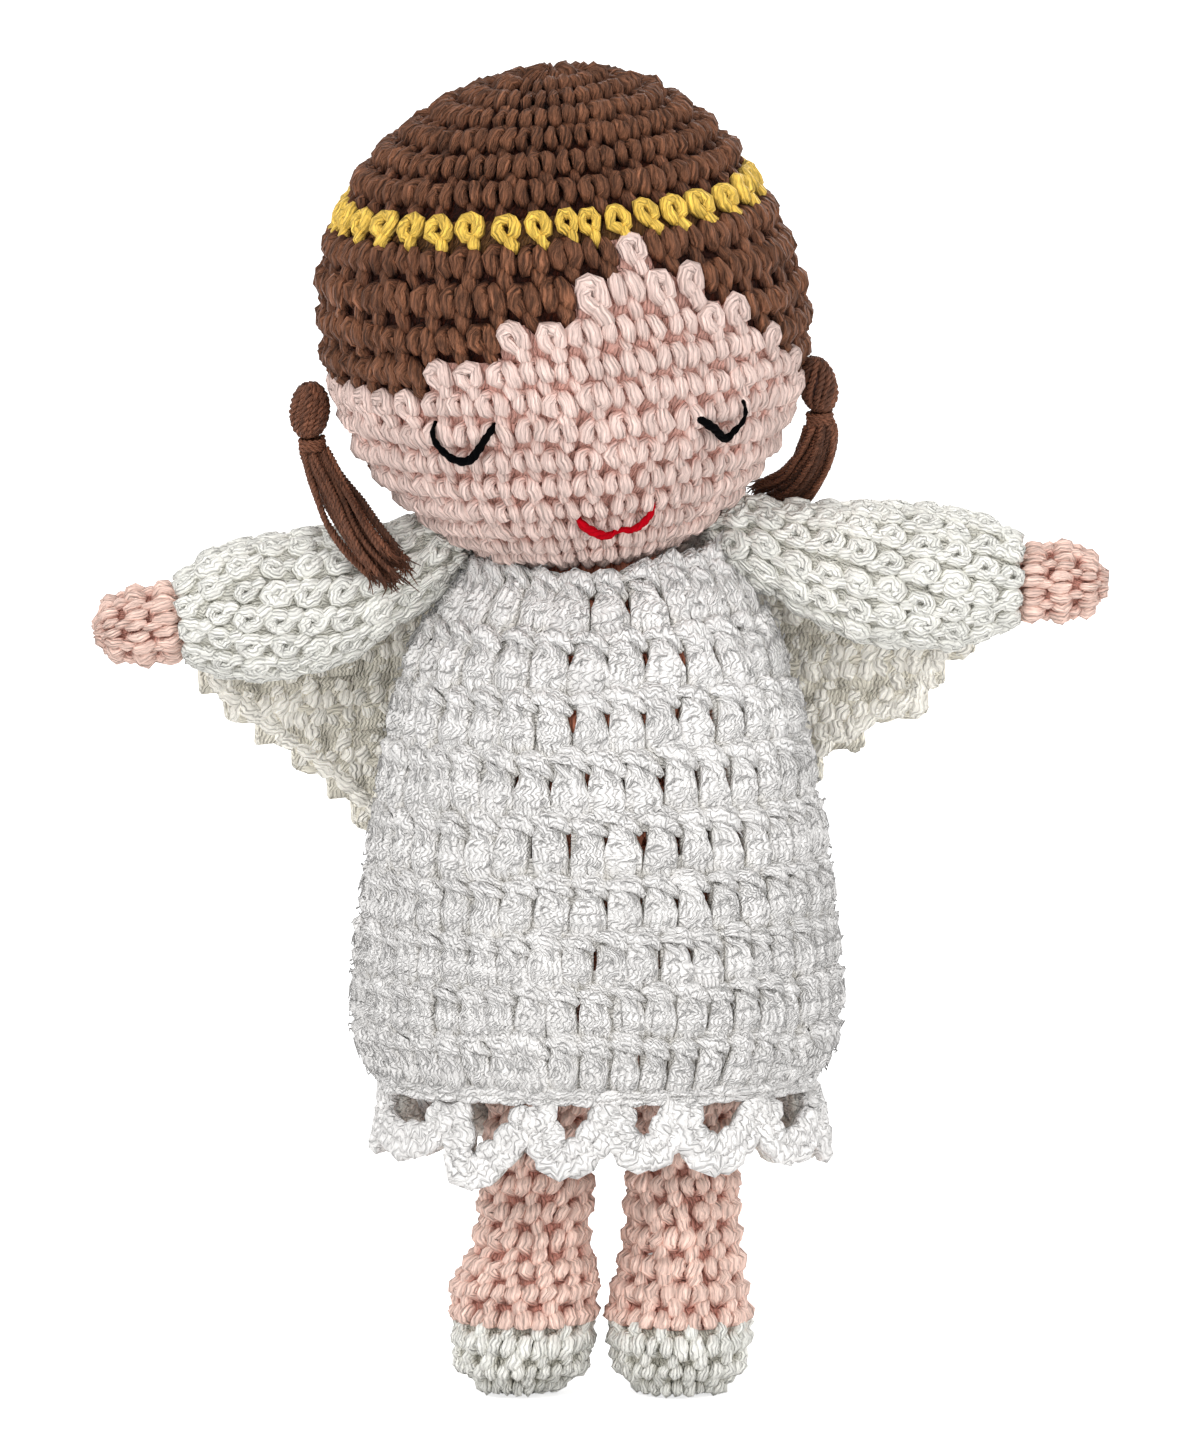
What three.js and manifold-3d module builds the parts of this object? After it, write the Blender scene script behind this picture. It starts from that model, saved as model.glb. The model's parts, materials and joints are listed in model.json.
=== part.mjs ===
// A small crocheted angel doll with a rattle capsule in its belly.
// Sizes are millimetres and angles are degrees. Z is up, the face looks along -Y,
// and left and right are the viewer's, who stands in front of the doll.
// The doll stands on its soles, and the origin is under the middle of its outline.

import * as THREE from 'three';
import { mergeVertices } from 'three/addons/utils/BufferGeometryUtils.js';
import Module from 'manifold-3d';

const wasm = await Module();
wasm.setup();

// Sewn and stuffed pieces stand this far from what carries them.
const clearance = 0.3;

// Head: a ball worked in rounds from the crown down to the neck.
const headRadius = 29.6;
const headTallness = 1.03;
const headWall = 2.2;
const headStitches = 44;
const roundTurn = 7.704;
const crownTurn = 1.742;
const crownRounds = 7;
const haloRounds = 1;
const napeRound = 17;
const lastRound = 21;
// Skin-coloured stitches of each round below the halo, counted from the middle of the face.
const faceSpans = [[1, 1], [-1, 3], [-3, 5], [-6, 6], [-12, 8], [-12, 11]];
const headNod = 4;
const headRoll = 4.5;
const headYaw = 7;

// Embroidered face.
const threadRadius = 0.5;
const leftEyeSide = -35;
const rightEyeSide = 33.5;
const eyeHalfWidth = 7.6;
const eyeLatitude = -15.5;
const eyeDrop = 7.8;
const mouthSide = 6;
const mouthHalfWidth = 11.5;
const mouthLatitude = -43.6;
const mouthDrop = 7.5;

// Pigtails: a knot sewn to the side of the head, a wrapped tie and a hanging hank of yarn.
const knotHalfThickness = 2.6;
const knotHalfHeight = 3.4;
const leftKnotAzimuth = -95;
const rightKnotAzimuth = 86;
const leftKnotLatitude = -15;
const rightKnotLatitude = -19;
const tieThread = 0.6;
const hankNeck = 1.5;
const hankRadius = 2.7;
const hankStrands = 6;

// Torso and the dress over it share one oval section.
const depthRatio = 0.78;
const torsoHeight = 48.9;
const torsoWall = 2.2;
const hipRadius = 23;
const seatRadius = 13.5;
const neckShare = 0.2635;
const neckRadius = neckShare * headRadius;
const neckShift = 1.8;
const neckBore = 4;
const collarDrop = 0.9;
const collarRadius = 15.2;
const collarRise = 0.6;
const shoulderRadius = 24;
const shoulderDrop = 13;
const skirtRadius = 29.4;
const skirtDrop = 49;
const hemRadius = 26.8;
const dressWall = 2.6;
const dressRows = 9;
const dressRowHeight = 6.77;
const rowGroove = 1;

// Lace of hanging loops under the skirt.
const laceCord = 1.4;
const laceRing = 1;
const laceLoops = 14;
const laceDrop = 8;
const laceSkew = 0.8;
const laceFlare = 0.2;

// Arms: a white sleeve and a skin-coloured hand, worked in one and stuffed.
const shoulderBall = 4.3;
const leftShoulderHeight = 46.2;
const rightShoulderHeight = 48.4;
const leftSleeve = 26.8;
const rightSleeve = 28.6;
const sleeveRadius = 8.4;
const wristRadius = 4.5;
const handLength = 10.8;
const handRadius = 5.3;
const limbWall = 2;
const leftArmSlope = 7.5;
const rightArmSlope = 1.8;

// Legs: a skin-coloured leg and a white shoe with a flat sole.
const legRadius = 6.9;
const calfRadius = 8.4;
const shoeRadius = 8.6;
const shoeHeight = 10.5;
const soleRadius = 6.4;
const hipHeight = 43;
const leftHipSpread = 7.2;
const rightHipSpread = 9.2;
const leftFootSpread = 9.7;
const rightFootSpread = 9.2;
const toeBulge = 1.24;
const toeShift = 1.8;

// Wings: flat panels worked in rows that get shorter towards the waist.
const wingRows = [34.2, 42.2, 45.7, 46.2, 41.5, 35.5, 30.2, 24.5, 19, 13.5];
const wingRowHeight = 3.65;
const wingThickness = 3;
const wingTop = 48.4;
const wingRoot = 2;
const wingSweep = 10;
const wingRoll = 5.2;

// Rattle: two snap-together half shells with loose beads.
const capsuleRadius = 11;
const capsuleWall = 1.8;
const capsuleLip = 1.3;
const capsuleHeight = 16.3;
const beadRadius = 2.4;
const beadCount = 5;

const rad = THREE.MathUtils.degToRad;

const skin = new THREE.MeshStandardMaterial({ color: 0xf0cfc4, roughness: 0.85 });
const limbSkin = new THREE.MeshStandardMaterial({ color: 0xeab9a4, roughness: 0.85 });
const brown = new THREE.MeshStandardMaterial({ color: 0x6d4737, roughness: 0.85 });
const yellow = new THREE.MeshStandardMaterial({ color: 0xe9c84c, roughness: 0.8 });
const white = new THREE.MeshStandardMaterial({ color: 0xf2f1ec, roughness: 0.8 });
const ivory = new THREE.MeshStandardMaterial({ color: 0xeceada, roughness: 0.85 });
const black = new THREE.MeshStandardMaterial({ color: 0x111214, roughness: 0.6 });
const red = new THREE.MeshStandardMaterial({ color: 0xc01822, roughness: 0.6 });
const filling = new THREE.MeshStandardMaterial({ color: 0xfafaf7, roughness: 1 });
const shell = new THREE.MeshStandardMaterial({ color: 0xdfe6ea, roughness: 0.35 });
const bead = new THREE.MeshStandardMaterial({ color: 0xc8ccd2, roughness: 0.3 });

const doll = new THREE.Group();

function addPiece(parent, name, geometry, material) {
  const mesh = new THREE.Mesh(geometry, material);
  mesh.name = name;
  parent.add(mesh);
  return mesh;
}

function addPivot(parent, name) {
  const pivot = new THREE.Group();
  pivot.name = name;
  parent.add(pivot);
  return pivot;
}

// Solids for cuts and joins, and the way back to a geometry.
function toSolid(geometry) {
  const bare = new THREE.BufferGeometry();
  bare.setAttribute('position', geometry.getAttribute('position'));
  bare.setIndex(geometry.getIndex());
  const merged = mergeVertices(bare, 1e-3);
  return new wasm.Manifold(new wasm.Mesh({
    numProp: 3,
    vertProperties: merged.getAttribute('position').array,
    triVerts: new Uint32Array(merged.getIndex().array),
  }));
}

function toGeometry(solid) {
  const mesh = solid.getMesh();
  const geometry = new THREE.BufferGeometry();
  geometry.setAttribute('position', new THREE.BufferAttribute(mesh.vertProperties, 3));
  geometry.setIndex(new THREE.BufferAttribute(mesh.triVerts, 1));
  return geometry;
}

const ballAt = (radius, centre, around = 16, along = 10) =>
  new THREE.SphereGeometry(radius, around, along).rotateX(Math.PI / 2).translate(...centre);

// A profile of [radius, height] pairs turned about Z.
function turned(profile, segments) {
  const points = profile.map(([r, z]) => new THREE.Vector2(Math.max(r, 0), z));
  return new THREE.LatheGeometry(points, segments).rotateX(Math.PI / 2);
}

// Points of a circular arc in the profile plane, angles from the radial direction.
function arc(radius, centreHeight, fromAngle, toAngle, steps) {
  const points = [];
  for (let i = 0; i <= steps; i += 1) {
    const angle = rad(fromAngle + (toAngle - fromAngle) * i / steps);
    points.push([radius * Math.cos(angle), centreHeight + radius * Math.sin(angle)]);
  }
  return points;
}

// The radius of an outline of [radius, height] pairs at one height.
function radiusAt(outline, height) {
  for (let i = 1; i < outline.length; i += 1) {
    const [r0, z0] = outline[i - 1];
    const [r1, z1] = outline[i];
    if ((height - z0) * (height - z1) <= 0 && z0 !== z1) {
      return r0 + (r1 - r0) * (height - z0) / (z1 - z0);
    }
  }
  return outline[outline.length - 1][0];
}

const smoothOutline = (pairs, steps) => new THREE.SplineCurve(
  pairs.map(([r, z]) => new THREE.Vector2(r, z)),
).getPoints(steps).map((p) => [p.x, p.y]);

// A closed tube whose section changes along its path. sectionAt returns points in the plane.
function swept(path, steps, sectionAt) {
  const frames = path.computeFrenetFrames(steps, false);
  const rings = [];
  for (let i = 0; i <= steps; i += 1) {
    const centre = path.getPointAt(i / steps);
    rings.push(sectionAt(i / steps).map(([u, v]) => centre.clone()
      .addScaledVector(frames.normals[i], u)
      .addScaledVector(frames.binormals[i], v)));
  }
  const positions = [];
  const face = (...corners) => corners.forEach((p) => positions.push(p.x, p.y, p.z));
  const count = rings[0].length;
  for (let i = 0; i < steps; i += 1) {
    for (let k = 0; k < count; k += 1) {
      const n = (k + 1) % count;
      face(rings[i][k], rings[i][n], rings[i + 1][n]);
      face(rings[i][k], rings[i + 1][n], rings[i + 1][k]);
    }
  }
  const start = path.getPointAt(0);
  const end = path.getPointAt(1);
  for (let k = 0; k < count; k += 1) {
    const n = (k + 1) % count;
    face(start, rings[0][n], rings[0][k]);
    face(end, rings[steps][k], rings[steps][n]);
  }
  const geometry = new THREE.BufferGeometry();
  geometry.setAttribute('position', new THREE.Float32BufferAttribute(positions, 3));
  return geometry;
}

function thread(path, radius, steps, sides) {
  const ring = new THREE.Shape().absarc(0, 0, radius, 0, 2 * Math.PI);
  const shape = new THREE.Shape(ring.getPoints(sides / 2).slice(0, sides));
  return new THREE.ExtrudeGeometry(shape, { steps, extrudePath: path, bevelEnabled: false });
}

// The dress outline, in the torso's frame, where 0 is the seat that the legs are sewn to.
const collarTop = torsoHeight - collarDrop;
const dressLength = dressRows * dressRowHeight;
const dressBottom = collarTop - dressLength;
const dressOutline = smoothOutline([
  [collarRadius, collarTop],
  [shoulderRadius, collarTop - shoulderDrop],
  [skirtRadius, collarTop - skirtDrop],
  [hemRadius, dressBottom],
], 60);

// The collar climbs towards the shoulders at the sides.
function collarLift(x, height, radius) {
  const share = THREE.MathUtils.clamp(1 - (collarTop - height) / shoulderDrop, 0, 1);
  return collarRise * share * share * (x / radius) ** 2;
}

function liftCollar(geometry) {
  const position = geometry.getAttribute('position');
  for (let i = 0; i < position.count; i += 1) {
    const x = position.getX(i);
    const y = position.getY(i);
    const z = position.getZ(i);
    position.setZ(i, z + collarLift(x, z, Math.max(Math.hypot(x, y), 1)));
  }
  return geometry;
}

// Outer profile with one rounded rib for each row, and a plain inner one.
function dressRibs() {
  const ribs = [];
  for (let row = 0; row < dressRows; row += 1) {
    const top = collarTop - row * dressRowHeight;
    ribs.push([radiusAt(dressOutline, top) - rowGroove, top]);
    for (const share of [0.25, 0.75]) {
      const height = top - share * dressRowHeight;
      ribs.push([radiusAt(dressOutline, height), height]);
    }
  }
  ribs.push([hemRadius - rowGroove, dressBottom]);
  return ribs;
}

const dressOuter = dressRibs();
const dressInner = [];
for (let row = 0; row <= dressRows; row += 1.5) {
  const height = collarTop - row * dressRowHeight;
  dressInner.push([radiusAt(dressOutline, height) - dressWall, height]);
}

// Torso frame: it stands on the legs.
const torso = addPivot(doll, 'torso');
torso.position.z = hipHeight + legRadius + clearance;

// Above the shoulders the neck leans over to the head's side.
function leanNeck(geometry) {
  const position = geometry.getAttribute('position');
  for (let i = 0; i < position.count; i += 1) {
    const share = THREE.MathUtils.smoothstep(position.getZ(i), neckFoot, torsoHeight);
    position.setX(i, position.getX(i) - neckShift * share);
  }
  return geometry;
}

// The dress hangs on the torso's shoulders.
const shoulderFit = (height) => radiusAt(dressInner, height) - clearance;
const neckFoot = collarTop - 2.2;
const torsoOutline = smoothOutline([
  [seatRadius, 0],
  [hipRadius - 0.6, torsoHeight * 0.12],
  [hipRadius, torsoHeight * 0.3],
  [hipRadius - 0.9, torsoHeight * 0.55],
  [shoulderFit(collarTop - shoulderDrop * 0.7), collarTop - shoulderDrop * 0.7],
], 7);
const torsoShoulder = [
  [shoulderFit(neckFoot - 1.6), neckFoot - 1.6],
  [shoulderFit(neckFoot) - 0.4, neckFoot],
];
const stubCap = Math.acos(neckBore / neckRadius) / rad(1);
const stubTop = torsoHeight + Math.sqrt(neckRadius ** 2 - neckBore ** 2);
const torsoProfile = [
  [0, 0],
  ...torsoOutline,
  ...torsoShoulder,
  [neckRadius + 1.6, neckFoot + 0.9],
  ...arc(neckRadius, torsoHeight, -12, stubCap, 4),
];
const cavity = [
  [neckBore, neckFoot - torsoWall + 0.6],
  ...[...torsoOutline, ...torsoShoulder].reverse()
    .filter(([, z]) => z > torsoWall && z < neckFoot - torsoWall)
    .map(([r, z]) => [r - torsoWall, z]),
  [seatRadius - 0.4, torsoWall],
];
const bodyShell = turned([...torsoProfile, ...cavity, [0, torsoWall]], 20);
addPiece(torso, 'body_shell', leanNeck(bodyShell.scale(1, depthRatio, 1)), limbSkin);

// The filling is packed round the capsule in two halves that meet at its middle.
const fit = cavity.map(([r, z]) => [r - clearance, z]);
const above = fit.filter(([, z]) => z > capsuleHeight + 1);
const below = fit.filter(([, z]) => z < capsuleHeight - 1);
const girth = radiusAt(fit, capsuleHeight);
const halfGap = clearance / 2;
const upperFill = turned([
  [0, capsuleHeight + halfGap],
  [girth, capsuleHeight + halfGap],
  ...[...above].reverse(),
  [neckBore - clearance, stubTop],
  [0, stubTop],
], 18).scale(1, depthRatio, 1);
const lowerFill = turned([
  [0, torsoWall + clearance],
  ...[...below].reverse().map(([r, z]) => [r, Math.max(z, torsoWall + clearance)]),
  [girth, capsuleHeight - halfGap],
  [0, capsuleHeight - halfGap],
], 18).scale(1, depthRatio, 1);
const capsuleCentre = [0, 0, capsuleHeight];
const capsuleRoom = toSolid(ballAt(capsuleRadius + clearance, capsuleCentre));
const packed = (fill) => toGeometry(toSolid(fill).subtract(capsuleRoom));
addPiece(torso, 'body_stuffing_upper', packed(leanNeck(upperFill)), filling);
addPiece(torso, 'body_stuffing_lower', packed(lowerFill), filling);

// Half shells with a lip on the lower one that enters the upper one.
const capsuleInner = capsuleRadius - capsuleWall;
const lipRadius = capsuleInner + (capsuleWall - clearance) / 2;
const lowerShell = turned([
  ...arc(capsuleRadius, 0, -90, -halfGap / capsuleRadius / rad(1), 5),
  [lipRadius, -halfGap],
  [lipRadius, capsuleLip],
  [capsuleInner, capsuleLip],
  ...arc(capsuleInner, 0, 0, -90, 4),
], 16);
const upperStart = Math.asin((capsuleLip + clearance) / capsuleInner) / rad(1);
const upperShell = turned([
  ...arc(capsuleInner, 0, 90, upperStart, 4),
  [lipRadius + clearance, capsuleLip + clearance],
  [lipRadius + clearance, halfGap],
  ...arc(capsuleRadius, 0, halfGap / capsuleRadius / rad(1), 90, 5),
], 16);
addPiece(torso, 'rattle_capsule_lower', lowerShell.translate(...capsuleCentre), shell);
addPiece(torso, 'rattle_capsule_upper', upperShell.translate(...capsuleCentre), shell);

// Loose beads lie in a ring at the bottom of the capsule, side by side.
const beadReach = capsuleInner - beadRadius - clearance;
const beadRing = (beadRadius + clearance / 2) / Math.sin(Math.PI / beadCount);
const beadDrop = Math.sqrt(beadReach ** 2 - beadRing ** 2);
for (let i = 0; i < beadCount; i += 1) {
  const angle = 2 * Math.PI * i / beadCount;
  const holder = addPivot(torso, `bead_pivot_${i + 1}`);
  holder.position.set(
    beadRing * Math.sin(angle), -beadRing * Math.cos(angle), capsuleHeight - beadDrop);
  addPiece(holder, `rattle_bead_${i + 1}`, ballAt(beadRadius, [0, 0, 0], 10, 7), bead);
}

// Dress shell, oval like the torso, with its collar lifted at the sides.
const dressProfile = [...dressOuter].reverse().concat(dressInner);
const dressShell = turned([...dressProfile, dressProfile[0]], 30).scale(1, depthRatio, 1);
addPiece(torso, 'dress', liftCollar(dressShell), white);

// Lace: a ring under the dress's edge joined with one long cord that hangs in loops.
class LaceLine extends THREE.Curve {
  constructor(drop) {
    super();
    this.drop = drop;
  }

  getPoint(t, target = new THREE.Vector3()) {
    const turn = 2 * Math.PI * t;
    const share = (t * laceLoops) % 1;
    const fall = this.drop * Math.sin(Math.PI * share ** laceSkew) ** 0.8;
    const radius = hemRadius - dressWall / 2 + fall * laceFlare;
    const height = dressBottom - clearance - laceRing - fall;
    return target.set(
      radius * Math.sin(turn), -depthRatio * radius * Math.cos(turn), height);
  }
}
const ringCord = new THREE.TubeGeometry(new LaceLine(0), 36, laceRing, 5, true);
const loopCord = new THREE.TubeGeometry(
  new LaceLine(laceDrop), laceLoops * 7, laceCord, 5, true);
loopCord.translate(0, 0, laceRing - laceCord);
addPiece(torso, 'dress_lace', toGeometry(toSolid(ringCord).add(toSolid(loopCord))), white);

// Head frame: the neck stub's centre is where the head nods.
const head = addPivot(torso, 'head_pivot');
head.position.set(-neckShift, 0, torsoHeight);
head.rotation.set(rad(headNod), -rad(headRoll), rad(headYaw), 'YXZ');
const headBall = new THREE.Group();
headBall.position.z = headRadius * headTallness;
headBall.scale.z = headTallness;
head.add(headBall);

const roundAngle = rad(roundTurn);
const latitudeAfter = (round) => Math.PI / 2 - rad(crownTurn) - round * roundAngle;
const stitchAngle = 2 * Math.PI / headStitches;
const roundGap = clearance / headRadius;

// A point over the head at an azimuth from the face's middle and a latitude, in radians.
const overHead = (azimuth, latitude, radius) => new THREE.Vector3(
  radius * Math.cos(latitude) * Math.sin(azimuth),
  -radius * Math.cos(latitude) * Math.cos(azimuth),
  radius * Math.sin(latitude),
);

// A thick shell made of the stitches that isWorked names, in rounds from first to last.
function workedShell(first, last, isWorked, azimuthOf, latitudeOf) {
  const positions = [];
  const quad = (a, b, c, d) => {
    for (const corner of [a, b, c, a, c, d]) {
      positions.push(corner.x, corner.y, corner.z);
    }
  };
  const inner = headRadius - headWall;
  const at = (stitch, line, radius) => {
    const wrapped = ((stitch % headStitches) + headStitches) % headStitches;
    return overHead(azimuthOf(wrapped), latitudeOf(line), radius);
  };
  const has = (stitch, round) => round >= first && round <= last
    && isWorked(((stitch + headStitches / 2) % headStitches + headStitches)
      % headStitches - headStitches / 2, round);
  const half = headStitches / 2;
  for (let round = first; round <= last; round += 1) {
    for (let stitch = -half; stitch < half; stitch += 1) {
      if (!has(stitch, round)) continue;
      const corners = [[stitch, round - 1], [stitch, round], [stitch + 1, round], [stitch + 1, round - 1]];
      const out = corners.map(([s, l]) => at(s, l, headRadius));
      const within = corners.map(([s, l]) => at(s, l, inner));
      quad(...out);
      quad(within[3], within[2], within[1], within[0]);
      const sides = [[stitch - 1, round], [stitch, round + 1], [stitch + 1, round], [stitch, round - 1]];
      sides.forEach(([s, r], k) => {
        const n = (k + 1) % 4;
        if (!has(s, r)) quad(out[n], out[k], within[k], within[n]);
      });
    }
  }
  const geometry = new THREE.BufferGeometry();
  geometry.setAttribute('position', new THREE.Float32BufferAttribute(positions, 3));
  return mergeVertices(geometry, 1e-4);
}

const halo = crownRounds + haloRounds;
const everywhere = () => true;
const plainAzimuth = (stitch) => stitch * stitchAngle;

// The crown closes at its ring, so it is turned and not laid in stitches.
function crownProfile() {
  const inner = headRadius - headWall;
  const low = latitudeAfter(crownRounds) + roundGap;
  const outside = arc(headRadius, 0, low / rad(1), 90, crownRounds - 1);
  const inside = arc(inner, 0, 90, low / rad(1), crownRounds - 3);
  return [...outside, ...inside, outside[0]];
}
addPiece(headBall, 'hair_crown', turned(crownProfile(), headStitches), brown);

const haloLines = (line) => latitudeAfter(line) + (line === halo ? roundGap : 0);
addPiece(headBall, 'halo_band',
  workedShell(crownRounds + 1, halo, everywhere, plainAzimuth, haloLines), yellow);

// Which stitches below the halo are skin-coloured.
function isFace(stitch, round) {
  if (round > napeRound) return true;
  const span = faceSpans[Math.min(round - halo, faceSpans.length) - 1];
  return stitch >= span[0] && stitch <= span[1];
}
addPiece(headBall, 'hair_fringe', workedShell(
  halo + 1, napeRound, (s, r) => !isFace(s, r), plainAzimuth, latitudeAfter), brown);

// The face's steps stand clear of the hair's by the gap, sideways and down.
const sideGap = roundGap / Math.cos(latitudeAfter(napeRound));
const faceAzimuth = (stitch) => {
  const signed = stitch > headStitches / 2 ? stitch - headStitches : stitch;
  const starts = faceSpans.some(([first]) => first === signed);
  const ends = faceSpans.some(([, last]) => last + 1 === signed);
  return stitch * stitchAngle + (starts ? sideGap : 0) - (ends ? sideGap : 0);
};
addPiece(headBall, 'face', workedShell(
  halo + 1, lastRound, isFace, faceAzimuth, (line) => latitudeAfter(line) - roundGap), skin);

const neckRoom = toSolid(ballAt(neckRadius + clearance, [0, 0, -headRadius]));
const headFill = toSolid(ballAt(headRadius - headWall - clearance, [0, 0, 0], 18, 12));
addPiece(headBall, 'head_stuffing', toGeometry(headFill.subtract(neckRoom)), filling);

// Sleeping eyes and a smile, each one arc of thread laid on the stitches.
function faceArc(side, halfWidth, latitude, drop) {
  const points = [-1, -0.55, 0, 0.55, 1].map((t) => overHead(
    rad(side + t * halfWidth),
    rad(latitude - drop * (1 - t * t)),
    headRadius + clearance + threadRadius,
  ));
  return thread(new THREE.CatmullRomCurve3(points), threadRadius, 10, 6);
}
addPiece(headBall, 'left_eye', faceArc(leftEyeSide, eyeHalfWidth, eyeLatitude, eyeDrop), black);
addPiece(headBall, 'right_eye', faceArc(rightEyeSide, eyeHalfWidth, eyeLatitude, eyeDrop), black);
addPiece(headBall, 'mouth', faceArc(mouthSide, mouthHalfWidth, mouthLatitude, mouthDrop), red);

// A pigtail: the knot and tie belong to the head, and the hank swings below the tie.
function addPigtail(side, azimuth, latitude, route) {
  const centre = overHead(
    rad(azimuth), rad(latitude), headRadius + clearance + knotHalfThickness);
  const knot = ballAt(1, [0, 0, 0], 12, 7)
    .scale(knotHalfThickness, knotHalfThickness, knotHalfHeight)
    .translate(...centre);
  addPiece(headBall, `${side}_pigtail_knot`, knot, brown);
  const tieRing = hankNeck + clearance + tieThread;
  const tieCentre = centre.clone();
  tieCentre.z -= knotHalfHeight + clearance + tieThread * 0.6;
  const tie = new THREE.TorusGeometry(tieRing, tieThread, 6, 14).translate(...tieCentre);
  addPiece(headBall, `${side}_pigtail_tie`, tie, brown);
  const pivot = addPivot(headBall, `${side}_pigtail_pivot`);
  pivot.position.copy(tieCentre);
  const path = new THREE.CatmullRomCurve3([
    new THREE.Vector3(0, 0, 0),
    new THREE.Vector3(0, 0, -tieThread * 2.5),
    ...route.map((p) => new THREE.Vector3(...p)),
  ]);
  const section = (t) => {
    const spread = THREE.MathUtils.smoothstep(t, 0.06, 0.4);
    const base = hankNeck + (hankRadius - hankNeck) * spread - 0.5 * Math.max(t - 0.7, 0);
    const points = [];
    for (let k = 0; k < hankStrands * 3; k += 1) {
      const angle = 2 * Math.PI * k / (hankStrands * 3);
      const flute = k % 3 === 0 ? 0.4 * spread : 0;
      points.push([(base - flute) * Math.cos(angle), (base - flute) * 0.9 * Math.sin(angle)]);
    }
    return points;
  };
  addPiece(pivot, `${side}_pigtail_hank`, swept(path, 8, section), brown);
}
addPigtail('left', leftKnotAzimuth, leftKnotLatitude, [
  [1.2, -4, -6], [2.4, -8.6, -10.8], [5.4, -12.2, -15.6]]);
addPigtail('right', rightKnotAzimuth, rightKnotLatitude, [
  [-1.2, 3.2, -5], [-4.4, 7.8, -8.4], [-9.4, 12.6, -10.6]]);

// Where a ball of this reach touches the dress's side at a height.
function seatBeside(height, reach) {
  let seat = 0;
  for (let rise = -reach; rise <= reach; rise += reach / 16) {
    const radius = radiusAt(dressOuter, height + rise);
    const lifted = height + rise + collarLift(radius, height + rise, radius);
    const half = reach ** 2 - (lifted - height) ** 2;
    if (half > 0 && height + rise <= collarTop) seat = Math.max(seat, radius + Math.sqrt(half));
  }
  return seat;
}

// A sleeve with its hand, drawn straight up from the ball's centre.
function addArm(side, sign, slope, shoulderHeight, sleeveLength) {
  const sleeveOutline = smoothOutline([
    [shoulderBall, 0],
    [sleeveRadius * 0.94, sleeveLength * 0.3],
    [sleeveRadius, sleeveLength * 0.58],
    [sleeveRadius * 0.9, sleeveLength * 0.8],
    [wristRadius, sleeveLength],
  ], 7);
  const handTip = sleeveLength + handLength;
  const handOutline = smoothOutline([
    [wristRadius, sleeveLength + clearance],
    [handRadius, sleeveLength + handLength * 0.4],
    [handRadius * 0.86, sleeveLength + handLength * 0.75],
  ], 4);
  const pivot = addPivot(torso, `${side}_arm_pivot`);
  const seat = seatBeside(shoulderHeight, shoulderBall + clearance);
  pivot.position.set(sign * seat, 0, shoulderHeight);
  pivot.rotation.y = sign * rad(90 + slope);
  const inside = sleeveOutline.map(([r, z]) => [r - limbWall, z]);
  const sleeve = turned([
    ...arc(shoulderBall, 0, -90, -15, 3),
    ...sleeveOutline,
    ...[...inside].reverse(),
    [0, limbWall * 0.5],
  ], 14);
  addPiece(pivot, `${side}_sleeve`, sleeve, white);
  const handInside = handOutline.map(([r, z]) => [r - limbWall, z]);
  const hand = turned([
    handInside[0],
    ...handOutline,
    [handRadius * 0.5, handTip - handLength * 0.04],
    [0, handTip],
    [0, handTip - limbWall],
    ...[...handInside].reverse(),
  ], 14);
  addPiece(pivot, `${side}_hand`, hand, limbSkin);
  const fill = [...inside, ...handInside.slice(1)].map(([r, z]) => [r - clearance, z]);
  const fillEnd = handTip - limbWall - clearance;
  const filled = turned([
    [0, limbWall * 0.5 + clearance * 2],
    [fill[1][0] * 0.6, limbWall * 0.5 + clearance * 3 + 0.6],
    ...fill.filter(([, z]) => z > limbWall + 1.5 && z < fillEnd - 1),
    [fill[fill.length - 1][0] * 0.5, fillEnd - 0.4],
    [0, fillEnd],
  ], 10);
  addPiece(pivot, `${side}_arm_stuffing`, filled, filling);
}
addArm('left', -1, leftArmSlope, leftShoulderHeight, leftSleeve);
addArm('right', 1, rightArmSlope, rightShoulderHeight, rightSleeve);

// Leg profiles stand on the floor at height 0, with the ball that meets the torso on top.
const legOutline = smoothOutline([
  [shoeRadius, shoeHeight + clearance],
  [calfRadius, shoeHeight + 3.5],
  [legRadius + 0.2, hipHeight * 0.56],
  [legRadius, hipHeight],
], 6);
const shoeOutline = [
  [0, 0],
  [soleRadius, 0],
  [shoeRadius - 0.8, shoeHeight * 0.16],
  [shoeRadius, shoeHeight * 0.45],
  [shoeRadius, shoeHeight],
];

// Toes reach forward: the section deepens towards the sole.
function shapeFoot(geometry) {
  const position = geometry.getAttribute('position');
  for (let i = 0; i < position.count; i += 1) {
    const share = 1 - THREE.MathUtils.smoothstep(position.getZ(i), shoeHeight * 0.3, shoeHeight * 2);
    const stretched = position.getY(i) * (1 + (toeBulge - 1) * share);
    position.setY(i, stretched - toeShift * share);
  }
  return geometry;
}

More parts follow.
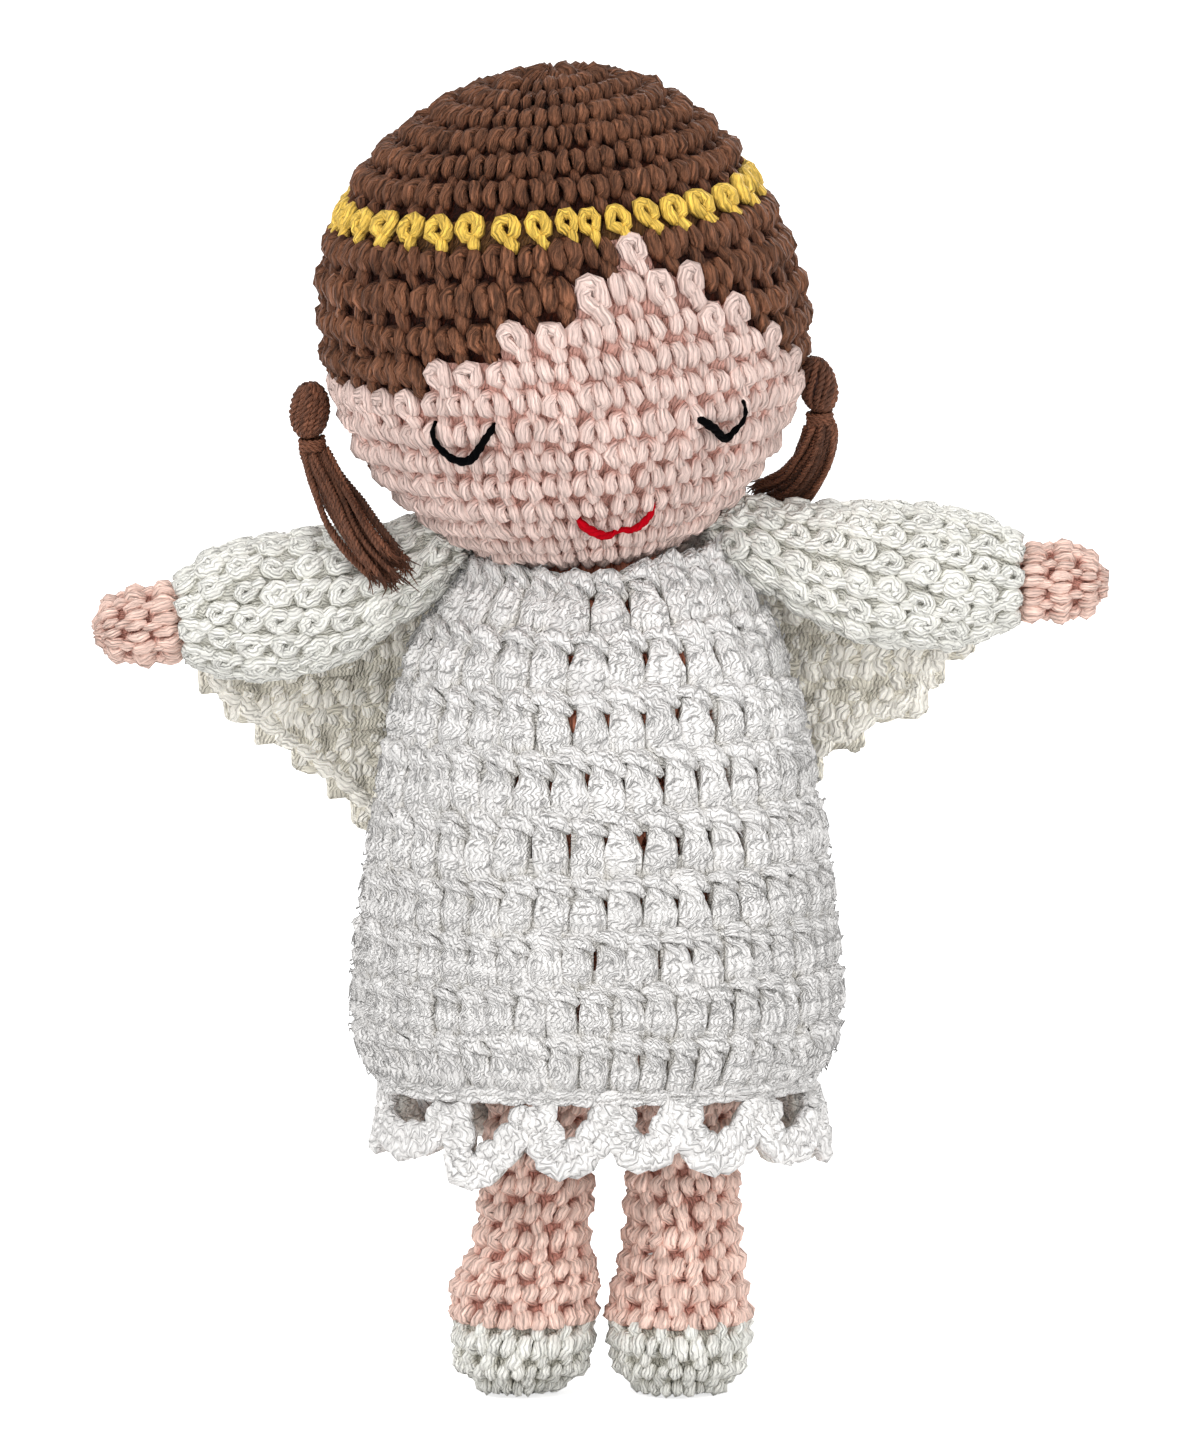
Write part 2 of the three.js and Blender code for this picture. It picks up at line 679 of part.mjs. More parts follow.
function addLeg(side, sign, hipSpread, footSpread) {
  torso.updateMatrix();
  const seat = new THREE.Vector3(sign * hipSpread, 0, -clearance - legRadius);
  const hip = seat.applyMatrix4(torso.matrix);
  const pivot = addPivot(doll, `${side}_leg_pivot`);
  pivot.position.copy(hip);
  const tilt = (hip.x - sign * footSpread) / hip.z;
  const stand = new THREE.Matrix4().makeShear(0, 0, 0, 0, tilt, 0)
    .setPosition(-tilt * hip.z, 0, -hip.z);
  const scaled = hip.z / hipHeight;
  const place = (profile, segments) => shapeFoot(
    turned(profile, segments).scale(1, 1, scaled)).applyMatrix4(stand);
  const legInside = legOutline.map(([r, z]) => [r - limbWall, z]);
  const leg = [
    ...legOutline,
    ...arc(legRadius, hipHeight, 20, 90, 4),
    [0, hipHeight + legRadius - limbWall],
    [legRadius - limbWall, hipHeight + 1],
    ...[...legInside].reverse(),
    legOutline[0],
  ];
  addPiece(pivot, `${side}_leg`, place(leg, 14), limbSkin);
  const shoeInside = shoeOutline.slice(1).map(([r, z]) => [r - limbWall, Math.max(z, limbWall)]);
  const shoe = [...shoeOutline, ...[...shoeInside].reverse(), [0, limbWall]];
  addPiece(pivot, `${side}_shoe`, place(shoe, 14), white);
  const fill = [
    [0, limbWall + clearance],
    [soleRadius - limbWall - clearance, limbWall + clearance],
    ...shoeInside.slice(1).map(([r, z]) => [r - clearance, Math.max(z, limbWall + clearance + 0.8)]),
    ...legInside.slice(1).map(([r, z]) => [r - clearance, z]),
    [0, hipHeight + legRadius - limbWall - clearance - 1],
  ];
  addPiece(pivot, `${side}_leg_stuffing`, place(fill, 10), filling);
}
addLeg('left', -1, leftHipSpread, leftFootSpread);
addLeg('right', 1, rightHipSpread, rightFootSpread);

// The wing's sewn edge follows the slope of the dress's back.
const wingLow = wingTop - wingRows.length * wingRowHeight;
const wingHigh = collarTop - shoulderDrop;
const backAt = (height) => radiusAt(dressOuter, height) * depthRatio;
const wingTilt = Math.atan2(backAt(wingLow) - backAt(wingHigh), wingHigh - wingLow);
const spread = Math.hypot(depthRatio, Math.tan(rad(wingSweep)));
let wingSeat = 0;
for (const [r, z] of dressOuter) {
  if (z >= wingLow - dressRowHeight && z <= wingTop) {
    wingSeat = Math.max(wingSeat, r * spread + (z - wingLow) * Math.tan(wingTilt));
  }
}

// One rounded bar for each row of the panel, joined where they meet.
function wingPanel(sign) {
  let panel;
  wingRows.forEach((length, row) => {
    const bevel = wingThickness * 0.22;
    const half = wingRowHeight / 2 + 0.15;
    const section = new THREE.Shape([
      new THREE.Vector2(0, -half + bevel), new THREE.Vector2(bevel, -half),
      new THREE.Vector2(wingThickness - bevel, -half), new THREE.Vector2(wingThickness, -half + bevel),
      new THREE.Vector2(wingThickness, half - bevel), new THREE.Vector2(wingThickness - bevel, half),
      new THREE.Vector2(bevel, half), new THREE.Vector2(0, half - bevel),
    ]);
    const bar = new THREE.ExtrudeGeometry(section, { depth: length, bevelEnabled: false })
      .applyMatrix4(new THREE.Matrix4().makeBasis(
        new THREE.Vector3(0, 1, 0), new THREE.Vector3(0, 0, 1), new THREE.Vector3(1, 0, 0)))
      .translate(sign > 0 ? 0 : -length, 0,
        wingTop - wingLow - (row + 0.5) * wingRowHeight);
    const solid = toSolid(bar);
    panel = panel ? panel.add(solid) : solid;
  });
  return toGeometry(panel);
}

// Both wings are sewn on a little out of level.
const back = addPivot(torso, 'back');
back.position.z = (wingTop + wingLow) / 2;
back.rotation.y = -rad(wingRoll);

function addWing(side, sign) {
  const pivot = addPivot(back, `${side}_wing_pivot`);
  pivot.position.set(sign * wingRoot, wingSeat + clearance, wingLow - back.position.z);
  pivot.rotation.set(wingTilt, 0, -sign * rad(wingSweep), 'ZXY');
  addPiece(pivot, `${side}_wing`, wingPanel(sign), ivory);
}
addWing('left', -1);
addWing('right', 1);

// The origin goes under the middle of the doll's outline.
doll.updateMatrixWorld(true);
const outline = new THREE.Box3().setFromObject(doll, true);
const middle = outline.getCenter(new THREE.Vector3());
doll.position.set(-middle.x, -middle.y, -outline.min.z);

export default doll;
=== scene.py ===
"""A small crocheted angel doll with a rattle in its belly, worked in yarn over its frame."""

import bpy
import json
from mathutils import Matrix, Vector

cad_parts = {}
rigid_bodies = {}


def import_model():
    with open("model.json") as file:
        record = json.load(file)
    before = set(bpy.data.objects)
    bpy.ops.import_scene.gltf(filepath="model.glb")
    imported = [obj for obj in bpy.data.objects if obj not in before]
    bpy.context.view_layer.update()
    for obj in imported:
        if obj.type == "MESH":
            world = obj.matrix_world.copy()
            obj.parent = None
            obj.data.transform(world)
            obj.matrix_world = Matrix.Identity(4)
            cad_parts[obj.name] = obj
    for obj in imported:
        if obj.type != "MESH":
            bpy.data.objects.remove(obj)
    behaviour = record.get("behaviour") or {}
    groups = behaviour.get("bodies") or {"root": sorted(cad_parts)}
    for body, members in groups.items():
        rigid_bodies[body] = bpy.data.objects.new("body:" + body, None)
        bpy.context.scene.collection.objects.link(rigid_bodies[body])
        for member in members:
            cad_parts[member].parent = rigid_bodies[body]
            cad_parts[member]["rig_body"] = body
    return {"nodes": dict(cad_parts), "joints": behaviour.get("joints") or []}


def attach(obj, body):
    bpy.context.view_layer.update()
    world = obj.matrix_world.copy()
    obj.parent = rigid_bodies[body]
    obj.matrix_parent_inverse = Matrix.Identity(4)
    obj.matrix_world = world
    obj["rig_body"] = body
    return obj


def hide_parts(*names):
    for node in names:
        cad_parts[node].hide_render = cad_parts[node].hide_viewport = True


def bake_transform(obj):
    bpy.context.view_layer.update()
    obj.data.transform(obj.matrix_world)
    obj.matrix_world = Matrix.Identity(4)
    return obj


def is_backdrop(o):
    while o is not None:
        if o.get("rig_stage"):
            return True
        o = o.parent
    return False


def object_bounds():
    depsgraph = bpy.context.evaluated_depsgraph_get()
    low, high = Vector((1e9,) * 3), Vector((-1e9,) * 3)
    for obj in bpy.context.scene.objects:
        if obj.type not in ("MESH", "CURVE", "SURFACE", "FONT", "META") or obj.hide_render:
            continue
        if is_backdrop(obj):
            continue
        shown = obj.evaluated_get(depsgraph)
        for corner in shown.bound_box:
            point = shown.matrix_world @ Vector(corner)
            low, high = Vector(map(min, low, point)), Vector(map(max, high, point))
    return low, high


bl_info = {
    "name": "Crochet rattle doll",
    "version": (1, 0, 0),
    "blender": (4, 5, 0),
    "location": "3D View > Sidebar > Crochet doll",
    "description": "Works the doll's rounds, dress, lace, wings and pigtails over the packed frame",
    "category": "Object",
}

import json
import math
from functools import partial

import bpy
import numpy as np
from bpy.props import FloatProperty, FloatVectorProperty, IntProperty, PointerProperty
from mathutils import Vector

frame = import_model()
cad_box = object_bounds()

MM = 0.001
TAU = 2 * math.pi
JOINTS = {joint["name"]: joint for joint in frame["joints"]}


def joint_at(name):
    """Where a joint of the frame sits, in millimetres."""
    return np.array(JOINTS[name]["pos_m"]) / MM


def srgb(red, green, blue):
    """A colour as it is seen on screen, 0 to 255, as linear values."""
    seen = np.array([red, green, blue]) / 255
    low = seen / 12.92
    high = ((seen + 0.055) / 1.055) ** 2.4
    return tuple(float(v) for v in np.where(seen <= 0.04045, low, high))


# ---- Sizes and colours that a user would change


def colour(name, description, value):
    return FloatVectorProperty(
        name=name, description=description, subtype="COLOR", size=3, min=0, max=1, default=value
    )


class DollYarns(bpy.types.PropertyGroup):
    hair: colour("Hair", "Brown yarn of the crown and the fringe", srgb(116, 75, 53))
    strands: colour("Pigtails", "Brown yarn of the knots and their strands", srgb(104, 66, 48))
    halo: colour("Halo", "Yellow yarn of the band round the head", srgb(232, 191, 80))
    face: colour("Face", "Rose yarn of the face", srgb(221, 195, 186))
    # Painted shade: the body's colour is a darker, redder copy of the limbs' peach, for the body
    # seen in shade inside the dress.
    body: colour("Body", "Peach yarn of the body, seen through the dress", srgb(206, 132, 106))
    limb: colour("Limbs", "Peach yarn of the hands and the legs", srgb(238, 204, 190))
    dress: colour("Dress", "Silky white yarn of the dress and its lace", srgb(231, 229, 227))
    sleeve: colour("Sleeves", "Warm white yarn of the sleeves and the shoes", srgb(235, 234, 227))
    wing: colour("Wings", "Ivory yarn of the wings", srgb(250, 246, 236))
    eyes: colour("Eyes", "Embroidery thread of the sleeping eyes", srgb(2, 2, 3))
    mouth: colour("Mouth", "Embroidery thread of the smile", srgb(165, 4, 20))


class DollStitches(bpy.types.PropertyGroup):
    strand: FloatProperty(
        name="Strand", description="Thickness of the yarn in a stitch, against the pattern's",
        min=0.7, max=1.2, default=1.0,
    )
    unevenness: FloatProperty(
        name="Unevenness", description="How far stitches differ in size and place",
        min=0, max=3, default=1.0,
    )
    seed: IntProperty(name="Seed", description="Start of the uneven hand", min=0, default=7)
    hank_strands: IntProperty(
        name="Strands in a pigtail", description="Twisted strands that hang below a tie",
        min=8, max=36, default=30,
    )
    lace_loops: IntProperty(
        name="Lace loops", description="Loops of chain under the skirt", min=10, max=20, default=14,
    )


def settings():
    return bpy.context.scene.doll_stitches


def yarns():
    return bpy.context.scene.doll_yarns


# ---- Tubes of yarn


def smooth(points, count):
    """Points along a smooth curve through the given ones, with whatever each carries."""
    points = np.asarray(points, float)
    padded = np.concatenate([2 * points[:1] - points[1:2], points, 2 * points[-1:] - points[-2:-1]])
    place = np.linspace(0, len(points) - 1, count)
    first = np.minimum(place.astype(int), len(points) - 2)
    share = (place - first)[:, None]
    a, b, c, d = (padded[first + k] for k in range(4))
    return 0.5 * (
        2 * b
        + (c - a) * share
        + (2 * a - 5 * b + 4 * c - d) * share**2
        + (3 * b - a - 3 * c + d) * share**3
    )


def unit(vectors):
    return vectors / np.maximum(np.linalg.norm(vectors, axis=-1, keepdims=True), 1e-9)


def along_lengths(points):
    steps = np.linalg.norm(np.diff(points, axis=0), axis=1)
    return np.concatenate([[0], np.cumsum(steps)])


def tube(path, radii, sides=6):
    """A tube along a path: points, quads and the quads' (length, turn) pairs.

    Its ends are closed, apart from one small triangle where the number of sides is odd.
    """
    radii = np.broadcast_to(np.asarray(radii, float), len(path))
    tangent = unit(np.gradient(path, axis=0))
    side = np.cross(tangent[0], [0, 0, 1.0])
    if np.linalg.norm(side) < 0.2:
        side = np.cross(tangent[0], [1.0, 0, 0])
    across = [unit(side)]
    for k in range(1, len(path)):
        across.append(unit(across[-1] - tangent[k] * np.dot(across[-1], tangent[k])))
    across = np.array(across)
    up = np.cross(tangent, across)
    angles = TAU * np.arange(sides)[None, :, None] / sides
    ring = np.cos(angles) * across[:, None] + np.sin(angles) * up[:, None]
    points = (path[:, None] + radii[:, None, None] * ring).reshape(-1, 3)
    lengths = along_lengths(path)
    quads, marks = [], []
    for i in range(len(path) - 1):
        for k in range(sides):
            n = (k + 1) % sides
            quads.append((i * sides + k, i * sides + n, (i + 1) * sides + n, (i + 1) * sides + k))
            at, after = k / sides, (k + 1) / sides
            marks.append(((lengths[i], at), (lengths[i], after),
                          (lengths[i + 1], after), (lengths[i + 1], at)))
    last, end = (len(path) - 1) * sides, lengths[-1]
    for k in range(0, sides - 3, 2):
        quads += [(0, k + 3, k + 2, k + 1), (last, last + k + 1, last + k + 2, last + k + 3)]
        marks += [((0, 0), (0, 0.5), (0, 0.5), (0, 0.2)),
                  ((end, 0), (end, 0.2), (end, 0.5), (end, 0.5))]
    return points, np.array(quads), np.array(marks)


# The pillow under a stitch: half its width at its three rows, their places, and its heights.
# Lying deep under the stitch, the pillow takes mostly the painted shade colour of the hollows.
PAD_HALVES = (2.35, 2.4, 2.35)
PAD_ROWS = (-0.2, 2.0, 4.2)
PAD_CROWN = 0.3
PAD_BOTTOM = -2.6


def pad(top):
    """A thin closed pillow of three rows of three points, its top at a height with a low crown."""
    grid = [(half * share, row) for half, row in zip(PAD_HALVES, PAD_ROWS)
            for share in (-1.0, 0.0, 1.0)]
    layer = len(grid)
    heights = [top] * layer + [PAD_BOTTOM] * layer
    heights[layer // 2] += PAD_CROWN
    points = np.array([(*place, height) for place, height in zip(grid * 2, heights)])
    quads = []
    for a in (0, 1, 3, 4):
        quads.append((a, a + 1, a + 4, a + 3))
        quads.append((layer + a, layer + a + 3, layer + a + 4, layer + a + 1))
    border = [0, 1, 2, 5, 8, 7, 6, 3]
    for a, b in zip(border, border[1:] + border[:1]):
        quads.append((b, a, layer + a, layer + b))
    quads = np.array(quads)
    return points, quads, points[quads][..., [1, 0]] * (1.0, 0.2)


class Work:
    """Gathers tubes and pillows of yarn, in millimetres, and makes one mesh of them."""

    def __init__(self):
        self.points, self.quads, self.marks, self.tones, self.depths = [], [], [], [], []
        self.total = 0

    # Each point's depth: 0 takes the painted shade colour of the hollows, 1 the yarn's own colour;
    # tone differs at random.
    def add(self, points, quads, marks, tone=0.5, depth=1.0):
        self.points.append(points)
        self.quads.append(quads + self.total)
        self.marks.append(marks)
        self.tones.append(np.broadcast_to(tone, len(points)))
        self.depths.append(np.broadcast_to(depth, len(points)))
        self.total += len(points)

    def mesh(self, name):
        points = np.concatenate(self.points) * MM
        quads = np.concatenate(self.quads)
        mesh = bpy.data.meshes.new(name)
        mesh.vertices.add(len(points))
        mesh.vertices.foreach_set("co", points.astype(np.float32).ravel())
        mesh.loops.add(quads.size)
        mesh.loops.foreach_set("vertex_index", quads.astype(np.int32).ravel())
        mesh.polygons.add(len(quads))
        mesh.polygons.foreach_set("loop_start", np.arange(0, quads.size, 4, dtype=np.int32))
        mesh.polygons.foreach_set("use_smooth", np.ones(len(quads), bool))
        layer = mesh.uv_layers.new(name="strand")
        layer.data.foreach_set("uv", np.concatenate(self.marks).astype(np.float32).ravel())
        for key, values in (("tone", self.tones), ("depth", self.depths)):
            attribute = mesh.attributes.new(key, "FLOAT", "POINT")
            attribute.data.foreach_set("value", np.concatenate(values).astype(np.float32))
        mesh.update(calc_edges=True)
        mesh.validate()
        return mesh


# ---- The forms that the yarn is worked over


class Turned:
    """An outline of (radius, height) turned about its axis, oval or not, and then placed."""

    def __init__(self, outline, place, outward=1, oval=1.0):
        self.outline = np.asarray(outline, float)
        self.lengths = along_lengths(self.outline)
        self.length = self.lengths[-1]
        slope = unit(np.gradient(self.outline, axis=0))
        self.normal = np.stack([slope[:, 1], -slope[:, 0]], 1) * outward
        self.place, self.oval = place, oval

    def radius(self, along):
        return np.interp(along, self.lengths, self.outline[:, 0])

    def at(self, turn, along, height):
        pick = lambda values: np.interp(along, self.lengths, values)
        radius = np.maximum(pick(self.outline[:, 0]) + pick(self.normal[:, 0]) * height, 0.02)
        level = pick(self.outline[:, 1]) + pick(self.normal[:, 1]) * height
        angle = TAU * turn
        local = np.stack([
            radius * np.sin(angle), -self.oval * radius * np.cos(angle), level,
        ], -1)
        return self.place(local)


class Strip:
    """A ribbon along a path, with the way that it faces at each point."""

    def __init__(self, path, facing):
        self.path, self.facing = path, unit(facing)
        self.lengths = along_lengths(path)
        self.length = self.lengths[-1]
        self.side = unit(np.cross(unit(np.gradient(path, axis=0)), self.facing))

    def at(self, turn, along, height):
        pick = lambda rows: np.stack([np.interp(along, self.lengths, row) for row in rows.T], -1)
        return (pick(self.path) + pick(self.side) * turn[..., None]
                + pick(self.facing) * height[..., None])


class Panel:
    """A flat panel: across runs along its rows, and down from its top edge."""

    def __init__(self, corner, across, down, facing):
        self.corner, self.across, self.down, self.facing = corner, across, down, facing

    def at(self, turn, along, height):
        return (
            self.corner
            + turn[..., None] * self.across
            + along[..., None] * self.down
            + height[..., None] * self.facing
        )


def mirrored(surface, turn, along):
    """True where (turn, along, outwards) is a left-handed set on this surface."""
    base = np.array([turn, along, 0.0])
    places = surface.at(*np.array([base, *(base + 0.01 * np.eye(3))]).T)
    return np.linalg.det(places[1:] - places[0]) < 0


# ---- Stitches: (across, along, outwards, radius) in millimetres on a stitch of the stated size

# Each kind: its pitch and row, how many unlike ones are made and how unlike they are, and its
# tubes' rings and sides. Without rings, a tube has one at each point.
SINGLE = {"pitch": 4.15, "row": 3.98, "kinds": 6, "uneven": 1.7, "rings": None, "sides": 6}
SINGLE_STRANDS = [
    [(-0.40, 2.20, -2.20, 0.64), (-0.82, 1.82, -1.38, 0.98), (-1.04, 1.25, -1.05, 1.08),
     (-1.14, 0.65, -1.08, 1.05), (-1.00, 0.10, -1.50, 0.93), (-0.40, -0.30, -2.15, 0.74),
     (0.25, -0.30, -2.15, 0.74), (0.76, 0.12, -1.46, 0.93), (1.00, 0.70, -1.02, 1.05),
     (1.18, 1.32, -1.02, 1.07), (1.28, 1.90, -1.38, 0.95), (1.15, 2.25, -2.20, 0.62)],
    [(0.20, 1.70, -2.05, 0.74), (0.42, 2.45, -1.48, 0.98), (0.64, 3.15, -1.25, 1.04),
     (0.82, 3.80, -1.48, 0.96), (0.94, 4.45, -2.10, 0.66)],
]
# Where the colour changes, each stitch stands open as a small ring with a tail.
RING_STRANDS = [
    [(0.50, 2.45, -1.60, 0.62), (-0.30, 2.30, -1.05, 0.76), (-0.98, 1.72, -0.90, 0.82),
     (-1.10, 0.95, -0.90, 0.83), (-0.70, 0.30, -1.02, 0.80), (0.05, 0.05, -1.10, 0.80),
     (0.78, 0.35, -1.02, 0.80), (1.12, 1.05, -0.90, 0.83), (0.98, 1.80, -0.95, 0.80),
     (0.40, 2.45, -1.60, 0.60)],
    [(0.25, 2.20, -1.70, 0.62), (0.45, 2.85, -1.10, 0.82), (0.62, 3.45, -1.05, 0.84),
     (0.75, 4.00, -1.60, 0.60)],
]
PUFF = {"pitch": 4.27, "row": 6.77, "kinds": 5, "uneven": 2.2, "rings": 6, "sides": 5}
PUFF_STRANDS = [
    [(-1.08, 0.7, -1.8, 0.58), (-1.22, 2.4, -1.22, 0.80),
     (-1.38, 4.5, -1.12, 0.86), (-1.5, 7.2, -2.0, 0.60)],
    [(-0.36, 0.7, -1.5, 0.60), (-0.42, 2.6, -0.80, 0.86),
     (-0.48, 4.7, -0.76, 0.92), (-0.5, 7.2, -1.8, 0.62)],
    [(0.46, 0.8, -1.5, 0.60), (0.48, 2.7, -0.82, 0.85),
     (0.50, 4.8, -0.78, 0.91), (0.5, 7.2, -1.8, 0.62)],
    [(1.12, 1.0, -1.9, 0.55), (1.24, 2.8, -1.24, 0.79),
     (1.38, 4.7, -1.14, 0.85), (1.5, 7.2, -2.0, 0.58)],
    [(-1.80, 0.9, -1.5, 0.46), (-0.9, 1.5, -0.55, 0.60),
     (0.5, 2.5, -0.38, 0.58), (1.3, 4.4, -1.15, 0.36)],
    [(-2.60, 0.3, -1.5, 0.52), (-1.2, 0.30, -0.60, 0.84),
     (0.6, 0.75, -0.46, 0.88), (2.3, 1.8, -1.4, 0.5)],
    [(-2.40, -0.5, -1.7, 0.45), (-0.8, -0.50, -1.15, 0.70),
     (0.9, -0.2, -1.05, 0.72), (2.6, 0.7, -1.5, 0.45)],
    [(-1.4, 5.9, -1.5, 0.38), (-0.5, 4.9, -0.35, 0.46),
     (0.6, 4.1, -0.32, 0.44), (1.4, 3.4, -1.2, 0.30)],
]
# Fine ends of silk that stand off a puff.
PUFF_HAIRS = [
    [(-1.7, 3.6, -0.5, 0.10), (-0.9, 3.0, 0.10, 0.10), (-0.2, 3.3, 0.25, 0.06)],
    [(0.2, 1.6, 0.1, 0.10), (0.9, 2.3, 0.30, 0.10), (1.0, 3.1, 0.35, 0.06)],
    [(1.6, 4.6, -0.4, 0.10), (1.0, 5.3, 0.05, 0.10), (0.2, 5.2, 0.28, 0.06)],
    [(-0.8, 0.4, 0.0, 0.10), (-0.1, 0.1, 0.36, 0.10), (0.6, 0.5, 0.38, 0.06)],
]
CHAIN = {"pitch": 4.4, "row": 2.9, "kinds": 4, "uneven": 1.5, "rings": 6, "sides": 6}
CHAIN_STRANDS = [
    [(0.30, -1.3, -1.1, 0.55), (-0.60, -0.3, -0.30, 1.00), (-0.95, 1.0, -0.05, 1.22),
     (-0.65, 2.4, -0.12, 1.12), (0.40, 3.6, -0.7, 0.60)],
    [(-0.20, -1.2, -1.3, 0.55), (0.65, -0.1, -0.50, 0.98), (0.98, 1.2, -0.20, 1.18),
     (0.68, 2.6, -0.28, 1.08), (-0.30, 3.7, -0.9, 0.60)],
    [(0.0, -1.2, -1.4, 0.80), (0.1, 1.3, -1.55, 1.25), (0.0, 3.8, -1.4, 0.80)],
]
# How far the points of like stitches differ, and the thickness of their strands.
POINT_SPREAD, THICKNESS_SPREAD = 0.06, 0.05
# How far laid stitches differ in size, lean, place and height.
SIZE_SPREAD, LEAN_SPREAD, PLACE_SPREAD, HEIGHT_SPREAD = 0.045, 0.07, 0.035, 0.08


def scaled(strands, wide, thick):
    """The strands of a stitch made wider and thicker."""
    return [[(a * wide, b, h, r * thick) for a, b, h, r in strand] for strand in strands]


def stitch_templates(kind, strands, rng, pillow=None):
    """Stitches in shares of their pitch and row, with their outward heights in millimetres."""
    uneven = settings().unevenness * kind["uneven"]
    made = []
    for _ in range(kind["kinds"]):
        stitch = Work()
        for strand in strands:
            controls = np.array(strand, float)
            controls[:, :3] += rng.normal(0, POINT_SPREAD * uneven, controls[:, :3].shape)
            controls[:, 3] *= 1 + rng.normal(0, THICKNESS_SPREAD * uneven)
            controls[:, 3] *= settings().strand
            line = smooth(controls, kind["rings"]) if kind["rings"] else controls
            stitch.add(*tube(line[:, :3], line[:, 3], kind["sides"]))
        if pillow:
            stitch.add(*pillow)
        points, quads, marks = map(np.concatenate, (stitch.points, stitch.quads, stitch.marks))
        made.append((points / (kind["pitch"], kind["row"], 1.0), quads, marks))
    return made


def single_templates(rng, strands=SINGLE_STRANDS, hollow=1.8):
    """Single stitches with pillows under them at the given depth."""
    return stitch_templates(SINGLE, strands, rng, pad(-hollow))


def outwards(points, quads):
    """True where a template's quads face outwards in a right-handed frame."""
    a, b, c, d = (points[quads[:, k]] for k in range(4))
    volume = (np.cross(a, b) * c).sum() + (np.cross(a, c) * d).sum()
    return volume > 0


def lay(work, surface, places, templates, rng, lift=0.0, fully_shaded_height=-2.2):
    """Lays a stitch at each place: (turn of its middle, its turn wide, start along, row height)."""
    places = np.asarray(places, float)
    uneven = settings().unevenness
    kinds = rng.integers(0, len(templates), len(places))
    flip = mirrored(surface, places[0][0], places[0][2] + places[0][3] / 2)
    for kind, (shares, quads, marks) in enumerate(templates):
        rows = places[kinds == kind]
        count, size = len(rows), len(shares)
        if not count:
            continue
        scale = 1 + rng.normal(0, SIZE_SPREAD, (count, 1)) * uneven
        lean = rng.normal(0, LEAN_SPREAD, (count, 1)) * uneven
        shift = rng.normal(0, PLACE_SPREAD, (count, 2)) * uneven
        a, b, h = shares.T[:, None]
        across = a * scale + lean * (b - 0.5) + shift[:, :1]
        down = 0.5 + (b - 0.5) * scale + shift[:, 1:]
        turn = rows[:, :1] + across * rows[:, 1:2]
        along = rows[:, 2:3] + down * rows[:, 3:4]
        height = h + lift + rng.normal(0, HEIGHT_SPREAD, (count, 1)) * uneven
        points = surface.at(turn, along, height)
        if outwards(shares, quads) == flip:
            quads, marks = quads[:, ::-1], marks[:, ::-1]
        faces = (quads[None] + size * np.arange(count)[:, None, None]).reshape(-1, 4)
        loops = np.repeat(marks[None], count, 0)
        loops[..., 0] += rng.uniform(0, 40, (count, 1, 1))
        tone = np.repeat(rng.uniform(0, 1, count), size)
        # Painted shade: the lower a point lies under the stitch's top, the more of the painted
        # shade colour it takes, fully at the lowest height given.
        depth = np.repeat(np.clip((h - fully_shaded_height) / -fully_shaded_height, 0, 1), count, 0).ravel()
        work.add(points.reshape(-1, 3), faces, loops.reshape(-1, 4, 2), tone, depth)


def round_places(count, phase, start, height, chosen=None):
    """Places of one round's stitches. phase is the azimuth of one stitch's middle, in degrees."""
    places = []
    for i in range(count):
        azimuth = (phase + 360 * i / count + 180) % 360 - 180
        if chosen is None or chosen(azimuth):
            places.append((azimuth / 360, 1 / count, start, height))
    return places


def add_cloth(work, surface, turns, alongs, used, top, bottom, wraps):
    """One thin closed cloth over a grid of cells, open where a cell isn't used."""
    rows, columns = used.shape
    wide = columns if wraps else columns + 1
    i, j = np.nonzero(used)
    corner = lambda down, over: (i + down) * wide + (j + over) % wide
    low_left, low_right = corner(0, 0), corner(0, 1)
    high_right, high_left = corner(1, 1), corner(1, 0)
    layer = (rows + 1) * wide
    upper = np.stack([low_left, low_right, high_right, high_left], 1)
    quads = [upper, layer + upper[:, ::-1]]
    around = np.pad(used, 1, mode="wrap" if wraps else "constant")
    around[0], around[-1] = False, False
    borders = (
        (around[:-2, 1:-1], low_left, low_right),
        (around[1:-1, 2:], low_right, high_right),
        (around[2:, 1:-1], high_right, high_left),
        (around[1:-1, :-2], high_left, low_left),
    )
    for beside, first, second in borders:
        edge = ~beside[i, j]
        a, b = first[edge], second[edge]
        quads.append(np.stack([b, a, layer + a, layer + b], 1))
    quads = np.concatenate(quads)
    turn, along = np.meshgrid(turns[:wide], alongs)
    places = np.stack([turn.ravel(), along.ravel()], 1)
    heights = np.stack([top.ravel(), bottom.ravel()])
    points = surface.at(np.tile(places[:, 0], 2), np.tile(places[:, 1], 2), heights.ravel())
    kept, quads = np.unique(quads, return_inverse=True)
    quads = quads.reshape(-1, 4)
    points = points[kept]
    if not outwards(points, quads):
        quads = quads[:, ::-1]
    marks = np.tile(places, (2, 1))[kept][quads] * (100.0, 0.3)
    level = heights.ravel()[kept]
    # Painted shade: the cloth lies deep, so it takes mostly the painted shade colour, fully at its
    # underside and about half at its top.
    depth = 0.45 * (level - level.min()) / max(level.max() - level.min(), 0.1)
    work.add(points, quads, marks, 0.5, depth)


# ---- Materials


def link(tree, *pairs):
    for out, into in pairs:
        tree.links.new(out, into)


def node(tree, kind, place=(0, 0), inputs=None, **values):
    """A node at a place, with its own settings and then the values of its inputs."""
    made = tree.nodes.new(kind)
    made.location = place
    for key, value in values.items():
        setattr(made, key, value)
    for key, value in (inputs or {}).items():
        made.inputs[key].default_value = value
    return made


